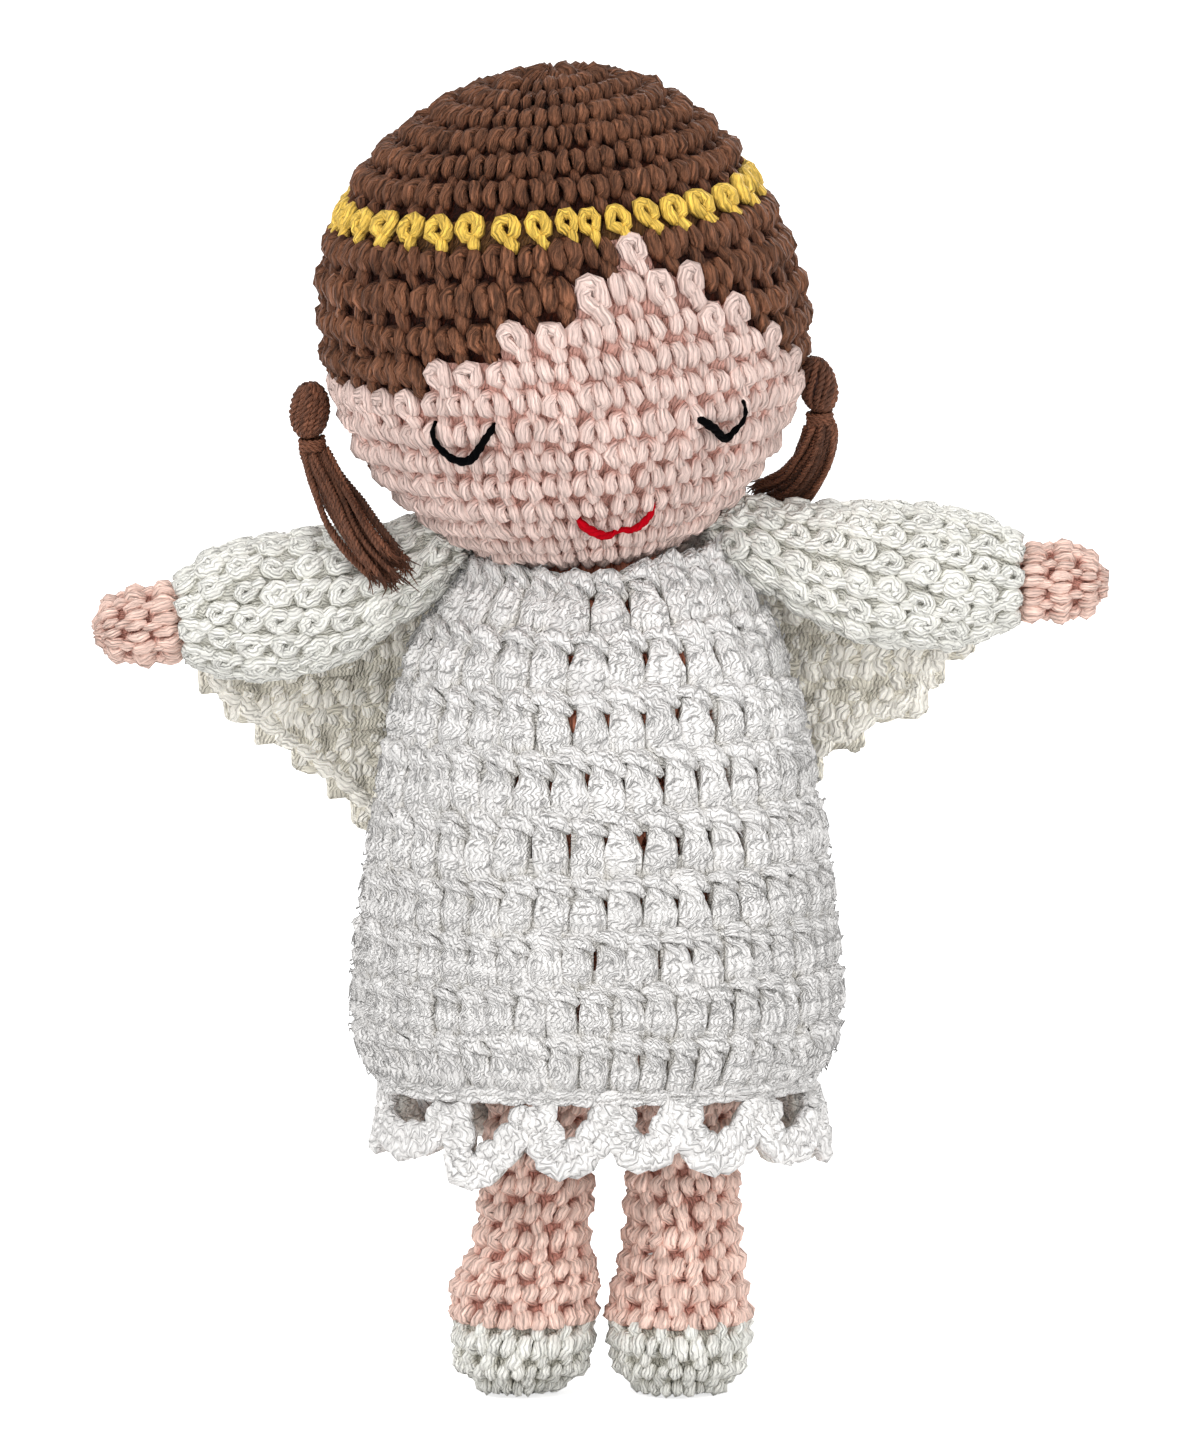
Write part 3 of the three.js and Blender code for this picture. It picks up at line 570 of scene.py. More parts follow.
def sums(tree, operation, *values):
    """A Math node on sockets or plain numbers, and its output."""
    made = node(tree, "ShaderNodeMath", operation=operation)
    for socket, value in zip(made.inputs, values):
        if isinstance(value, (int, float)):
            socket.default_value = value
        else:
            tree.links.new(value, socket)
    return made.outputs[0]


def new_material(name):
    """A new material, its node tree and its shader."""
    made = bpy.data.materials.new(name)
    made.use_nodes = True
    return made, made.node_tree, made.node_tree.nodes["Principled BSDF"]


# The groove setting paints shade into the grooves between plies; the fibre setting sets the fibres'
# relief and their streaks, partly tone and partly painted highlight.
USUAL_PLIES = {"Plies": 9.0, "Lay": 1.0, "Groove": 0.34, "Fibre": 0.5, "Tone Spread": 0.08,
               "Stray": 0.8}
THREAD_PLIES = {"Plies": 3.0, "Lay": 2.5, "Fibre": 0.4, "Tone Spread": 0.02}
# Each yarn's colour, the painted shade colour deep between its strands (half as light where there
# is none), its relief in millimetres, its gloss, and how its plies differ from the usual ones.
YARNS = {
    "hair_yarn": ("hair", (54, 20, 8), 0.30, 0.2,
                  {"Plies": 8.0, "Lay": 1.1, "Groove": 0.4, "Fibre": 1.35, "Tone Spread": 0.14}),
    "hair_strand_yarn": ("strands", (50, 20, 14), 0.08, 0.25,
                         {"Plies": 4.0, "Lay": 1.6, "Fibre": 1.2, "Tone Spread": 0.4}),
    "halo_yarn": ("halo", (104, 68, 30), 0.30, 0.4,
                  {"Plies": 8.0, "Lay": 1.2, "Groove": 0.4, "Fibre": 0.8, "Tone Spread": 0.05}),
    "face_yarn": ("face", (206, 152, 138), 0.30, 0.25, {"Lay": 1.4, "Groove": 0.22}),
    "limb_yarn": ("limb", (212, 150, 134), 0.30, 0.35, {"Lay": 1.8, "Groove": 0.26, "Fibre": 0.6}),
    # The body's yarn and its hollows are darkened and reddened as painted shade inside the dress.
    "body_yarn": ("body", (150, 78, 54), 0.30, 0.25, {"Lay": 1.8, "Fibre": 0.4}),
    "dress_yarn": ("dress", (218, 214, 206), 0.45, 0.5,
                   {"Plies": 7.0, "Lay": 1.8, "Groove": 0.14, "Fibre": 0.36, "Tone Spread": 0.05,
                    "Stray": 3.5}),
    "sleeve_yarn": ("sleeve", (222, 219, 206), 0.4, 0.45,
                    {"Lay": 1.6, "Groove": 0.2, "Fibre": 0.36, "Tone Spread": 0.05, "Stray": 2.0}),
    "wing_yarn": ("wing", (238, 232, 216), 0.4, 0.25,
                  {"Lay": 1.6, "Groove": 0.2, "Fibre": 0.4, "Tone Spread": 0.06, "Stray": 2.0}),
    "eye_thread": ("eyes", None, 0.08, 0.02, THREAD_PLIES),
    "mouth_thread": ("mouth", None, 0.08, 0.02, THREAD_PLIES),
}


def ply_group():
    """Plies and fibres of a strand of yarn: its colour, with painted shade in its hollows and
    grooves and painted highlights on its fibres, its roughness and height.
    """
    found = bpy.data.node_groups.get("yarn_plies")
    if found:
        return found
    tree = bpy.data.node_groups.new("yarn_plies", "ShaderNodeTree")
    new, do = tree.interface.new_socket, partial(sums, tree)
    for name in ("Color", "Hollow Color"):
        new(name, in_out="INPUT", socket_type="NodeSocketColor")
    for name, value in USUAL_PLIES.items():
        new(name, in_out="INPUT", socket_type="NodeSocketFloat").default_value = value
    for name, kind in (("Color", "Color"), ("Roughness", "Float"), ("Height", "Float")):
        new(name, in_out="OUTPUT", socket_type=f"NodeSocket{kind}")
    given = node(tree, "NodeGroupInput", (-1400, 0)).outputs
    strand = node(tree, "ShaderNodeUVMap", (-1400, -300), uv_map="strand").outputs[0]
    tone = node(tree, "ShaderNodeAttribute", (-1400, 300), attribute_name="tone").outputs["Fac"]
    depth = node(tree, "ShaderNodeAttribute", (-1400, 500), attribute_name="depth").outputs["Fac"]
    parts = node(tree, "ShaderNodeSeparateXYZ", (-1200, -300))
    wander = node(tree, "ShaderNodeTexNoise", (-1200, -700), {"Scale": 1.1}, noise_dimensions="2D")
    link(tree, (strand, parts.inputs[0]), (strand, wander.inputs["Vector"]))
    length, turn = parts.outputs[0], parts.outputs[1]
    phase = do("ADD", do("MULTIPLY", turn, given["Plies"]), do("DIVIDE", length, given["Lay"]))
    phase = do("ADD", phase, do("MULTIPLY", wander.outputs["Fac"], given["Stray"]))
    ply = do("POWER", do("ABSOLUTE", do("SINE", do("MULTIPLY", phase, math.pi))), 0.55)
    spot = node(tree, "ShaderNodeCombineXYZ", (-800, -500))
    fibres = node(tree, "ShaderNodeTexNoise", (-600, -500),
                  {"Scale": 1.0, "Detail": 3.0, "Roughness": 0.6})
    spread = node(tree, "ShaderNodeMapRange", (-400, -500), {"From Min": 0.34, "From Max": 0.66})
    # Painted shade: the depth attribute mixes the yarn's colour towards the painted shade colour,
    # fully where it lies deepest between strands.
    hollow = node(tree, "ShaderNodeMapRange", (-600, 500), {"From Min": 0.15, "From Max": 0.78},
                  interpolation_type="SMOOTHSTEP")
    mixed = node(tree, "ShaderNodeMix", (-300, 300), data_type="RGBA")
    link(tree, (do("MULTIPLY", length, 0.7), spot.inputs[0]),
         (do("MULTIPLY", phase, 1.7), spot.inputs[1]), (do("MULTIPLY", tone, 60.0), spot.inputs[2]),
         (spot.outputs[0], fibres.inputs["Vector"]),
         (fibres.outputs["Fac"], spread.inputs["Value"]),
         (depth, hollow.inputs["Value"]), (hollow.outputs[0], mixed.inputs["Factor"]),
         (given["Hollow Color"], mixed.inputs["A"]), (given["Color"], mixed.inputs["B"]))
    fibre = spread.outputs[0]
    # Painted shade darkens the colour in the grooves between plies.
    groove_shade = do("MULTIPLY", do("SUBTRACT", 1.0, ply), given["Groove"])
    # Fibre streaks lighten and darken the colour: partly the fibres' own tone, partly painted
    # highlights and shade along them.
    fibre_tone_and_highlight = do("ADD", do("MULTIPLY", do("SUBTRACT", fibre, 0.5), given["Fibre"]), 1.0)
    dye = do("MULTIPLY", do("SUBTRACT", tone, 0.5), do("MULTIPLY", given["Tone Spread"], 2.0))
    level = do("MULTIPLY", do("SUBTRACT", 1.06, groove_shade), fibre_tone_and_highlight)
    level = do("MULTIPLY", level, do("ADD", dye, 1.0))
    # The colour scaled by random tone, painted groove shade and the fibre streaks of tone and
    # painted highlight.
    tinted_and_shaded = node(tree, "ShaderNodeVectorMath", (0, 300), operation="SCALE")
    height = do("ADD", do("MULTIPLY", ply, 0.6), do("MULTIPLY", fibre, given["Fibre"]))
    rough = do("SUBTRACT", 0.80, do("MULTIPLY", fibre, 0.35))
    result = node(tree, "NodeGroupOutput", (300, 0))
    link(tree, (mixed.outputs["Result"], tinted_and_shaded.inputs[0]), (level, tinted_and_shaded.inputs["Scale"]),
         (tinted_and_shaded.outputs[0], result.inputs["Color"]), (rough, result.inputs["Roughness"]),
         (height, result.inputs["Height"]))
    return tree


def yarn(name):
    """The material of a yarn, made when it is first asked for."""
    found = bpy.data.materials.get(f"worked_{name}")
    if found:
        return found
    colour_name, deep, relief, gloss, plies = YARNS[name]
    base = tuple(getattr(yarns(), colour_name))
    # The painted shade colour of the hollows, half as light as the yarn where none is given.
    hollow = srgb(*deep) if deep else tuple(value * 0.5 for value in base)
    made, tree, shader = new_material(f"worked_{name}")
    inputs = {"Color": (*base, 1), "Hollow Color": (*hollow, 1), **USUAL_PLIES, **plies}
    group = node(tree, "ShaderNodeGroup", (-500, 0), inputs, node_tree=ply_group()).outputs
    bump = node(tree, "ShaderNodeBump", (-200, -200), {"Distance": relief * MM})
    shader.inputs["Specular IOR Level"].default_value = gloss
    link(tree, (group["Color"], shader.inputs["Base Color"]),
         (group["Roughness"], shader.inputs["Roughness"]), (group["Height"], bump.inputs["Height"]),
         (bump.outputs[0], shader.inputs["Normal"]))
    return made


def finish(work, name, kind, body, *replaced, slot=None):
    """Makes the gathered yarn an object that stands for its CAD nodes.

    It rides on a body. Given two of them as (one, other, start, end), it rides on neither and keeps
    its place; these are not used.
    """
    made = bpy.data.objects.new(name, work.mesh(name))
    bpy.context.scene.collection.objects.link(made)
    made.data.materials.append(yarn(kind))
    if isinstance(body, str):
        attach(made, body)
    else:
        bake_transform(made)
    if replaced:
        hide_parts(*replaced)
    return made


def generator(offset):
    return np.random.default_rng(settings().seed * 100 + offset)


# ---- Head

CLEARANCE = 0.3
HEAD_RADIUS = 29.6
HEAD_TALLNESS = 1.03
HEAD_TURNS = {"nod": 4.0, "roll": -4.5, "yaw": 7.0}
# How far the head stands aside at some heights over its middle.
HEAD_LEAN = ([-8, 0, 5, 10, 17, 21, 25, 29, 32], [0, -0.1, -0.5, -0.95, -0.9, -0.6, -0.1, 0.7, 0.9])
CROWN_TURN = 1.742
ROUND_TURN = 7.704
ROUND_HEIGHT = math.radians(ROUND_TURN) * HEAD_RADIUS
# Stitches in each round, from the crown down.
HEAD_COUNTS = [6, 12, 18, 24, 30, 34, 37, 39, 41, 42, 44, 44, 44, 44, 43, 41, 38, 34, 29, 23, 17]
# The azimuth of one stitch in the rounds where the photograph shows it.
HEAD_PHASES = {8: -48.6, 9: 14.4, 10: 2.1, 11: -18.0, 12: -38.8, 13: -50.2, 14: -75.0}
# How far the rounds near the halo lie below an even spacing, in millimetres.
ROUND_SHIFTS = ([0, 7, 8, 9, 10, 11, 12, 13, 23], [0, 0.4, 0.6, 0.8, 1.5, 2.4, 2.6, 2.6, 2.6])
# How far each other round is turned against the one above it, in stitches.
HEAD_DRIFT = 0.45
HALO_ROUND = 8
# The azimuth of each halo stitch that the photograph shows, and how many more close the round.
HALO_AZIMUTHS = [-82.4, -71.0, -59.9, -48.6, -38.9, -29.4, -18.7, -9.5, -1.7, 4.7, 12.7, 21.0, 29.8,
                 40.1, 51.0, 63.9, 76.0]
HALO_BEHIND = 19
NAPE_ROUND = 17
# How far the face reaches to each side in the rounds below the halo.
FACE_REACH = {9: (9, 18), 10: (-6, 30), 11: (-23.5, 46), 12: (-44, 58), 13: (-98, 67)}
FACE_SIDES = (-98, 98)
# Each colour area: its yarn and CAD node, how deep its hollows are, and how far the stitches'
# tops lean out over the round above.
HEAD_AREAS = {
    "crown": ("hair_yarn", "hair_crown", 2.0, 0.34),
    "halo": ("halo_yarn", "halo_band", 2.0, 0.14),
    "fringe": ("hair_yarn", "hair_fringe", 2.0, 0.14),
    "face": ("face_yarn", "face", 1.6, 0.14),
}
FACE_RINGS = scaled(RING_STRANDS, 0.98, 1.22)
# The ring that the first round is worked into and the yarn that fills it: (along, height, radius).
CROWN_RING = (1.3, -1.2, 0.75)
CROWN_MIDDLE = (1.2, -1.7, 1.3)


def rotation(axis, degrees):
    cosine, sine = math.cos(math.radians(degrees)), math.sin(math.radians(degrees))
    i, j = {"x": (1, 2), "y": (2, 0), "z": (0, 1)}[axis]
    turned = np.eye(3)
    turned[i, i] = turned[j, j] = cosine
    turned[j, i], turned[i, j] = sine, -sine
    return turned


HEAD_AXES = (
    rotation("y", HEAD_TURNS["roll"]) @ rotation("x", HEAD_TURNS["nod"])
    @ rotation("z", HEAD_TURNS["yaw"])
)


def place_on_head(local):
    """From the head ball's own frame to the row frame. The crown leans a little."""
    stretched = local * (1, 1, HEAD_TALLNESS) + (0, 0, HEAD_RADIUS * HEAD_TALLNESS)
    lean = np.interp(local[..., 2:], *HEAD_LEAN) * (1.0, 0, 0)
    return stretched @ HEAD_AXES.T + lean + joint_at("head_nod")


def over_ball(azimuth, latitude, height):
    """A place over the head's ball, in the ball's own frame."""
    azimuth, latitude = np.radians(azimuth), np.radians(latitude)
    radius = HEAD_RADIUS + height
    return np.stack([
        radius * np.cos(latitude) * np.sin(azimuth),
        -radius * np.cos(latitude) * np.cos(azimuth),
        radius * np.sin(latitude),
    ], -1)


def head_surface():
    angles = np.radians(np.linspace(90, -85, 90))
    outline = np.stack([HEAD_RADIUS * np.cos(angles), HEAD_RADIUS * np.sin(angles)], 1)
    return Turned(outline, place_on_head, outward=-1)


def head_rounds():
    """Each round's number with its stitch count, phase, start and height."""
    phase = HEAD_PHASES[HALO_ROUND]
    first = math.radians(CROWN_TURN) * HEAD_RADIUS
    numbers = np.arange(1, len(HEAD_COUNTS) + 2)
    starts = first + (numbers - 1) * ROUND_HEIGHT + np.interp(numbers, *ROUND_SHIFTS)
    for number, count in enumerate(HEAD_COUNTS, start=1):
        phase = HEAD_PHASES.get(number, phase - HEAD_DRIFT * 360 / count)
        yield number, count, phase, starts[number - 1], starts[number] - starts[number - 1]


def halo_places(start, height):
    """The halo's stitches, spaced unevenly as the photograph shows them."""
    low, high = HALO_AZIMUTHS[0], HALO_AZIMUTHS[-1]
    behind = np.linspace(high, low + 360, HALO_BEHIND + 2)[1:-1]
    azimuths = np.array([*HALO_AZIMUTHS, *behind])
    after = np.append(azimuths[1:], low + 360)
    before = np.insert(azimuths[:-1], 0, azimuths[-1] - 360)
    return [
        (((azimuth + 180) % 360 - 180) / 360, (next_one - last_one) / 720, start, height)
        for azimuth, next_one, last_one in zip(azimuths, after, before)
    ]


def area_of(number, azimuth):
    """The colour area that a stitch of a round belongs to."""
    if number <= HALO_ROUND:
        return "halo" if number == HALO_ROUND else "crown"
    low, high = FACE_REACH.get(number, FACE_SIDES)
    return "face" if number > NAPE_ROUND or low <= azimuth <= high else "fringe"


class DOLL_OT_head(bpy.types.Operator):
    """Works the crown, the halo, the fringe and the face in rounds over the head"""

    bl_idname = "doll.head"
    bl_label = "Head"

    def execute(self, context):
        surface = head_surface()
        for index, (name, (kind, node_name, depth, overlap)) in enumerate(HEAD_AREAS.items()):
            rng = generator(index)
            work = Work()
            places, rings = [], []
            for number, count, phase, start, height in head_rounds():
                if number == HALO_ROUND:
                    found = halo_places(start, height) if name == "halo" else []
                else:
                    found = round_places(count, phase, start, height,
                                         lambda azimuth: area_of(number, azimuth) == name)
                for place in found:
                    under_hair = name == "face" and area_of(number - 1, place[0] * 360) != "face"
                    (rings if name == "halo" or under_hair else places).append(place)
            singles = [[(a, b, h + overlap * (1.7 - b), r) for a, b, h, r in strand]
                       for strand in SINGLE_STRANDS]
            loops = RING_STRANDS if name == "halo" else FACE_RINGS
            for strands, some in ((loops, rings), (singles, places)):
                if some:
                    lay(work, surface, some, single_templates(rng, strands, hollow=depth), rng)
            if name == "crown":
                add_crown_ring(work, surface)
            finish(work, f"{name}_stitches", kind, "head", node_name)
        return {"FINISHED"}


def add_crown_ring(work, surface):
    """The drawn-in ring of yarn that the first round is worked into."""
    along, height, radius = CROWN_RING
    path = surface.at(np.linspace(0, 1, 13), np.full(13, along), np.full(13, height))
    # The ring takes a touch of the painted shade colour, and the yarn that fills it takes it fully.
    work.add(*tube(path, radius), tone=0.4, depth=0.7)
    along, height, radius = CROWN_MIDDLE
    ends = surface.at(np.array([0.0, 0.5]), np.full(2, along), np.full(2, height))
    work.add(*tube(smooth(ends, 4), radius), tone=0.4, depth=0.15)


# Thread of the face as (azimuth, latitude) on the head.
LEFT_EYE = [(-42.9, -15.2), (-42.4, -18.0), (-41.3, -20.4), (-39.2, -22.6), (-36.3, -23.8),
            (-33.2, -23.1), (-29.9, -19.9), (-26.2, -15.7)]
RIGHT_EYE = [(24.9, -18.0), (27.2, -19.4), (30.2, -21.4), (33.9, -24.3), (37.4, -22.4),
             (39.7, -20.0), (40.2, -15.9)]
MOUTH = [(-7.9, -44.6), (-5.2, -45.9), (-1.8, -48.0), (1.6, -49.6), (5.0, -50.2), (9.0, -49.6),
         (12.6, -47.6), (15.6, -44.6), (17.9, -42.2)]
# Each CAD node's thread, route and radii, and how deep a stitch covers the middle.
FACE_THREADS = {
    "left_eye": ("eye_thread", LEFT_EYE, (0.30, 0.38, 0.52, 0.60, 0.56), 0.0),
    "right_eye": ("eye_thread", RIGHT_EYE, (0.50, 0.62, 0.56, 0.26, 0.22), 0.0),
    "mouth": ("mouth_thread", MOUTH, (0.60, 0.66, 0.58, 0.36, 0.40, 0.50, 0.46), 0.8),
}
# Height of the thread's middle, how far its ends dip, and its two plies' lay and distance from it.
THREAD_HEIGHT, THREAD_DIP = 0.42, 1.6
THREAD_LAY, THREAD_OFFSET = 2.6, 0.14


class DOLL_OT_features(bpy.types.Operator):
    """Embroiders the sleeping eyes and the smile on the face"""

    bl_idname = "doll.features"
    bl_label = "Eyes and mouth"

    def execute(self, context):
        for name, (kind, route, radii, covered) in FACE_THREADS.items():
            route = smooth(route, 26)
            share = np.linspace(-1, 1, len(route))
            under = covered * np.exp(-(((share - 0.12) / 0.2) ** 2))
            height = THREAD_HEIGHT - THREAD_DIP * np.abs(share) ** 8 - under
            path = place_on_head(over_ball(route[:, 0], route[:, 1], height))
            out = unit(path - place_on_head(np.zeros(3)))
            across = unit(np.cross(np.gradient(path, axis=0), out))
            taper = np.interp(share, np.linspace(-1, 1, len(radii)), radii)
            taper = taper * (1 - 0.35 * np.abs(share) ** 6) * 0.8
            work = Work()
            for start in (math.pi, 0):
                twist = (TAU * along_lengths(path) / THREAD_LAY + start)[:, None]
                wound = path + THREAD_OFFSET * (np.cos(twist) * across + np.sin(twist) * out)
                work.add(*tube(wound, taper), tone=0.5, depth=0.9)
            finish(work, f"{name}_thread", kind, "head", name)
        return {"FINISHED"}


# ---- Pigtails

# Where each knot sits on the head, how far it is sunk in, and the route of its hank below the tie.
KNOTS = {
    "left": {
        "azimuth": -95, "latitude": -15, "sunk": 0.1,
        "route": [(0, 0, 0), (0.2, 0, -1.5), (2.1, -4, -6), (4.2, -8.4, -10.4),
                  (7.6, -11.6, -14.6)],
    },
    "right": {
        "azimuth": 83, "latitude": -19, "sunk": 1.4,
        "route": [(0, 0, 0), (0, 0, -1.5), (-0.7, 3.2, -5), (-2.8, 7.6, -9.0), (-6.6, 12.0, -11.8)],
    },
}
KNOT_HALF = (2.6, 2.6, 3.4)
KNOT_WRAPS = 17
KNOT_SWIRL = 0.5
TIE_DROP = 0.66
TIE_TURNS = 3.6
TIE_RADIUS = 1.4
TIE_HALF = 0.8
HANK_POINTS = 40
HANK_SWIRL = 0.9
# Radius and lay of the strands in a knot, a tie and a hank.
KNOT_STRAND, TIE_STRAND, HANK_STRAND = (0.46, 1.5), (0.34, 1.4), (0.41, 1.1)


def knot_centre(side):
    given = KNOTS[side]
    return over_ball(given["azimuth"], given["latitude"], CLEARANCE + KNOT_HALF[0] - given["sunk"])


def two_ply(work, path, radius, lay_length, rng, frayed=False):
    """A strand of two plies twisted round each other along a path, its end teased out or not."""
    lengths = along_lengths(path)
    steps = max(int(lengths[-1] / (0.2 * lay_length)), 6)
    even = np.linspace(0, lengths[-1], steps)
    line = np.stack([np.interp(even, lengths, path[:, k]) for k in range(3)], -1)
    tangent = unit(np.gradient(line, axis=0))
    across = unit(np.cross(tangent, (0.31, 0.87, 0.38)))
    second = np.cross(tangent, across)
    start = rng.uniform(0, TAU)
    tone = rng.uniform(0, 1)
    for ply in (0, 1):
        angle = (start + math.pi * ply + TAU * even / lay_length)[:, None]
        wound = line + 0.52 * radius * (np.cos(angle) * across + np.sin(angle) * second)
        work.add(*tube(wound, 0.56 * radius), tone=tone, depth=0.75)
        if frayed:
            add_fray(work, wound[-1], tangent[-1], radius, rng, tone)


def add_fray(work, end, way, radius, rng, tone):
    """Five loose fibres at the cut end of a ply."""
    for _ in range(5):
        spread = rng.normal(0, 0.35, 3)
        step = rng.uniform(0.7, 1.9) * 0.6
        first = end - way * 0.5 + rng.normal(0, radius * 0.25, 3)
        second = first + (way + spread * 0.5) * step
        line = smooth([first, second, second + (way + spread * 1.2) * step], 5)
        work.add(*tube(line, np.linspace(0.14, 0.05, 5), 4), tone=tone, depth=0.8)


class DOLL_OT_pigtails(bpy.types.Operator):
    """Ties a knot of yarn to each side of the head and hangs a hank of strands below it"""

    bl_idname = "doll.pigtails"
    bl_label = "Pigtails"

    def execute(self, context):
        for index, side in enumerate(KNOTS):
            self.add_knot(side, generator(20 + index))
            self.add_tie(side, generator(24 + index))
            self.add_hank(side, generator(28 + index))
        return {"FINISHED"}

    def hang(self, work, side, name, part, body="head"):
        finish(work, f"{side}_{name}", "hair_strand_yarn", body, f"{side}_pigtail_{part}",
               slot="hair_yarn")

    def add_knot(self, side, rng):
        work = Work()
        centre = knot_centre(side)
        out = unit(centre)
        along = unit(np.cross((0, 0, 1.0), out))
        core_path = centre + np.outer(np.linspace(-2.6, 2.6, 9), (0, 0, 1.0))
        core_radius = 2.1 * np.sqrt(np.maximum(1 - np.linspace(-1, 1, 9) ** 2 * 0.95, 0.02))
        # The knot's core takes mostly the painted shade colour.
        work.add(*tube(place_on_head(core_path), core_radius, 8), tone=0.3, depth=0.3)
        wide, tall = KNOT_HALF[0] - 0.4, KNOT_HALF[2] - 0.4
        for k in range(KNOT_WRAPS):
            bearing = TAU * k / KNOT_WRAPS + rng.normal(0, 0.08)
            way = math.cos(bearing) * out + math.sin(bearing) * along
            beside = np.cross((0, 0, 1.0), way)
            points = []
            for angle in np.radians(np.linspace(80, -78, 10)):
                r, z = math.cos(angle), math.sin(angle)
                turned = way * math.cos(KNOT_SWIRL * z) + beside * math.sin(KNOT_SWIRL * z)
                points.append(centre + turned * wide * r + (0, 0, tall * z))
            two_ply(work, place_on_head(np.array(points)), *KNOT_STRAND, rng)
        self.hang(work, side, "knot_wraps", "knot")

    def add_tie(self, side, rng):
        work = Work()
        share = np.linspace(0, 1, 60)
        angle = TAU * TIE_TURNS * share
        wound = np.stack([TIE_RADIUS * np.cos(angle), TIE_RADIUS * np.sin(angle),
                          TIE_HALF * (1 - 2 * share)], -1)
        two_ply(work, place_on_head(self.below(side) + wound), *TIE_STRAND, rng)
        self.hang(work, side, "tie_wraps", "tie")

    def below(self, side):
        """The middle of a knot's tie."""
        return knot_centre(side) - (0, 0, KNOT_HALF[2] + TIE_DROP)

    def add_hank(self, side, rng):
        work = Work()
        route = smooth(self.below(side) + np.array(KNOTS[side]["route"], float), HANK_POINTS)
        share = np.linspace(0, 1, HANK_POINTS)
        tangent = unit(np.gradient(route, axis=0))
        first = unit(np.cross(tangent, (0.2, 0.9, 0.1)))
        second = np.cross(tangent, first)
        spread = 0.9 + 1.5 * np.clip((share - 0.06) / 0.5, 0, 1) ** 0.8
        count = settings().hank_strands
        for k in range(count):
            inner = k % 5 // 2
            bearing = TAU * k / count + HANK_SWIRL * share
            reach = spread * ((1.0, 0.62, 0.25)[inner] + rng.normal(0, 0.06))
            wander = 0.25 * np.sin(TAU * (share * rng.uniform(0.8, 1.6) + rng.uniform()))
            line = route + (reach * np.cos(bearing) + wander)[:, None] * first
            line = line + (reach * 0.9 * np.sin(bearing))[:, None] * second
            whole = int(HANK_POINTS * rng.uniform(0.88, 1.0))
            two_ply(work, place_on_head(line[:whole]), *HANK_STRAND, rng, frayed=True)
        self.hang(work, side, "hank_strands", "hank", f"{side}_hank")


# ---- Body, limbs and clothes

HIP_HEIGHT = 43.0
LEG_RADIUS = 6.9
TORSO_FOOT = HIP_HEIGHT + LEG_RADIUS + CLEARANCE
DEPTH_RATIO = 0.78
COLLAR_TOP = 48.0
BODICE_ROWS = 4
DRESS_OUTLINE = [
    (15.2, COLLAR_TOP), (24.0, COLLAR_TOP - 13), (29.4, COLLAR_TOP - 49),
    (26.8, COLLAR_TOP - 60.93),
]
DRESS_WALL = 2.6
# Heights below the head's joint and above it, handed on with the collar's pieces but not used to
# bend them.
NECK_BEND = (-8, 6)
# The dress's cloth in cells round the body, of which slits beside the puffs leave some open. Each
# row has four steps down: (share of its height, open in a slit).
SLIT_CELLS = 420
SLIT_STEPS = ((0.22, False), (0.42, True), (0.62, True), (1.0, False))
# How far each row of puffs is turned against the one above it, in puffs.
PUFF_DRIFT = 0.37
# Each kind of puff: how much narrower it is drawn, and half the slit beside it in puffs.
PUFF_KINDS = {"shut": (0.0, 0.0), "ajar": (0.5, 0.09), "open": (0.85, 0.15)}
# Height of each row of the dress and its puffs round the body, from the collar down.
DRESS_ROWS = [
    (7.0, 24), (7.0, 28), (6.9, 33), (7.1, 35), (7.0, 37), (6.2, 40), (6.0, 44), (5.9, 46),
    (7.2, 47),
]
LEAN_OF_NECK = 1.8


def middle():
    """The doll's middle line in the row frame, above which the torso stands."""
    head = joint_at("head_nod")
    return np.array([head[0] + LEAN_OF_NECK, head[1], 0.0])


def place_on_torso(local):
    return local + middle() + (0, 0, TORSO_FOOT)


# The collar is drawn up under the chin over this height: so far all round, so much more at both
# shoulders, and so much more again on the right one.
COLLAR_DEPTH = 13
COLLAR_LIFT, SHOULDER_LIFT, RIGHT_LIFT = 2.2, 2.2, 1.2
# How far the skirt's rows slant up to the right, at the outline's radius of 27.
ROW_SLANT = 0.55


def place_dress(local):
    """Draws the collar up under the chin, most at the shoulders."""
    radius = np.maximum(np.hypot(local[..., 0], local[..., 1]), 1)
    share = np.clip(1 - (COLLAR_TOP - local[..., 2]) / COLLAR_DEPTH, 0, 1.2)
    side = local[..., 0] / radius
    lift = share**2 * (COLLAR_LIFT + SHOULDER_LIFT * side**2 + RIGHT_LIFT * side)
    rise = np.clip((local[..., 2] + 13) / 61, 0, 1)
    lift = lift + ROW_SLANT * np.sin(math.pi * rise) * local[..., 0] / 27
    lifted = np.stack([local[..., 0] - 0.4, local[..., 1], local[..., 2] + lift], -1)
    return place_on_torso(lifted)


def dress_surface():
    return Turned(smooth(DRESS_OUTLINE, 120), place_dress, outward=-1, oval=DEPTH_RATIO)


# Where the slits are widest, how far to each side they thin out, and how wide each row's are.
SLIT_AZIMUTH, SLIT_REACH = 26, 52
SLIT_ROWS = (0.35, 0.85, 1.0, 1.0, 0.9, 0.65, 0.45, 0.3, 0.2)


def slit_width(azimuth, row):
    """How open the slit beside a puff is, from 0 to 1: most at the right of the middle rows."""
    beside = math.exp(-(((azimuth - SLIT_AZIMUTH) / SLIT_REACH) ** 2))
    return 0.28 + 0.92 * beside * SLIT_ROWS[row]


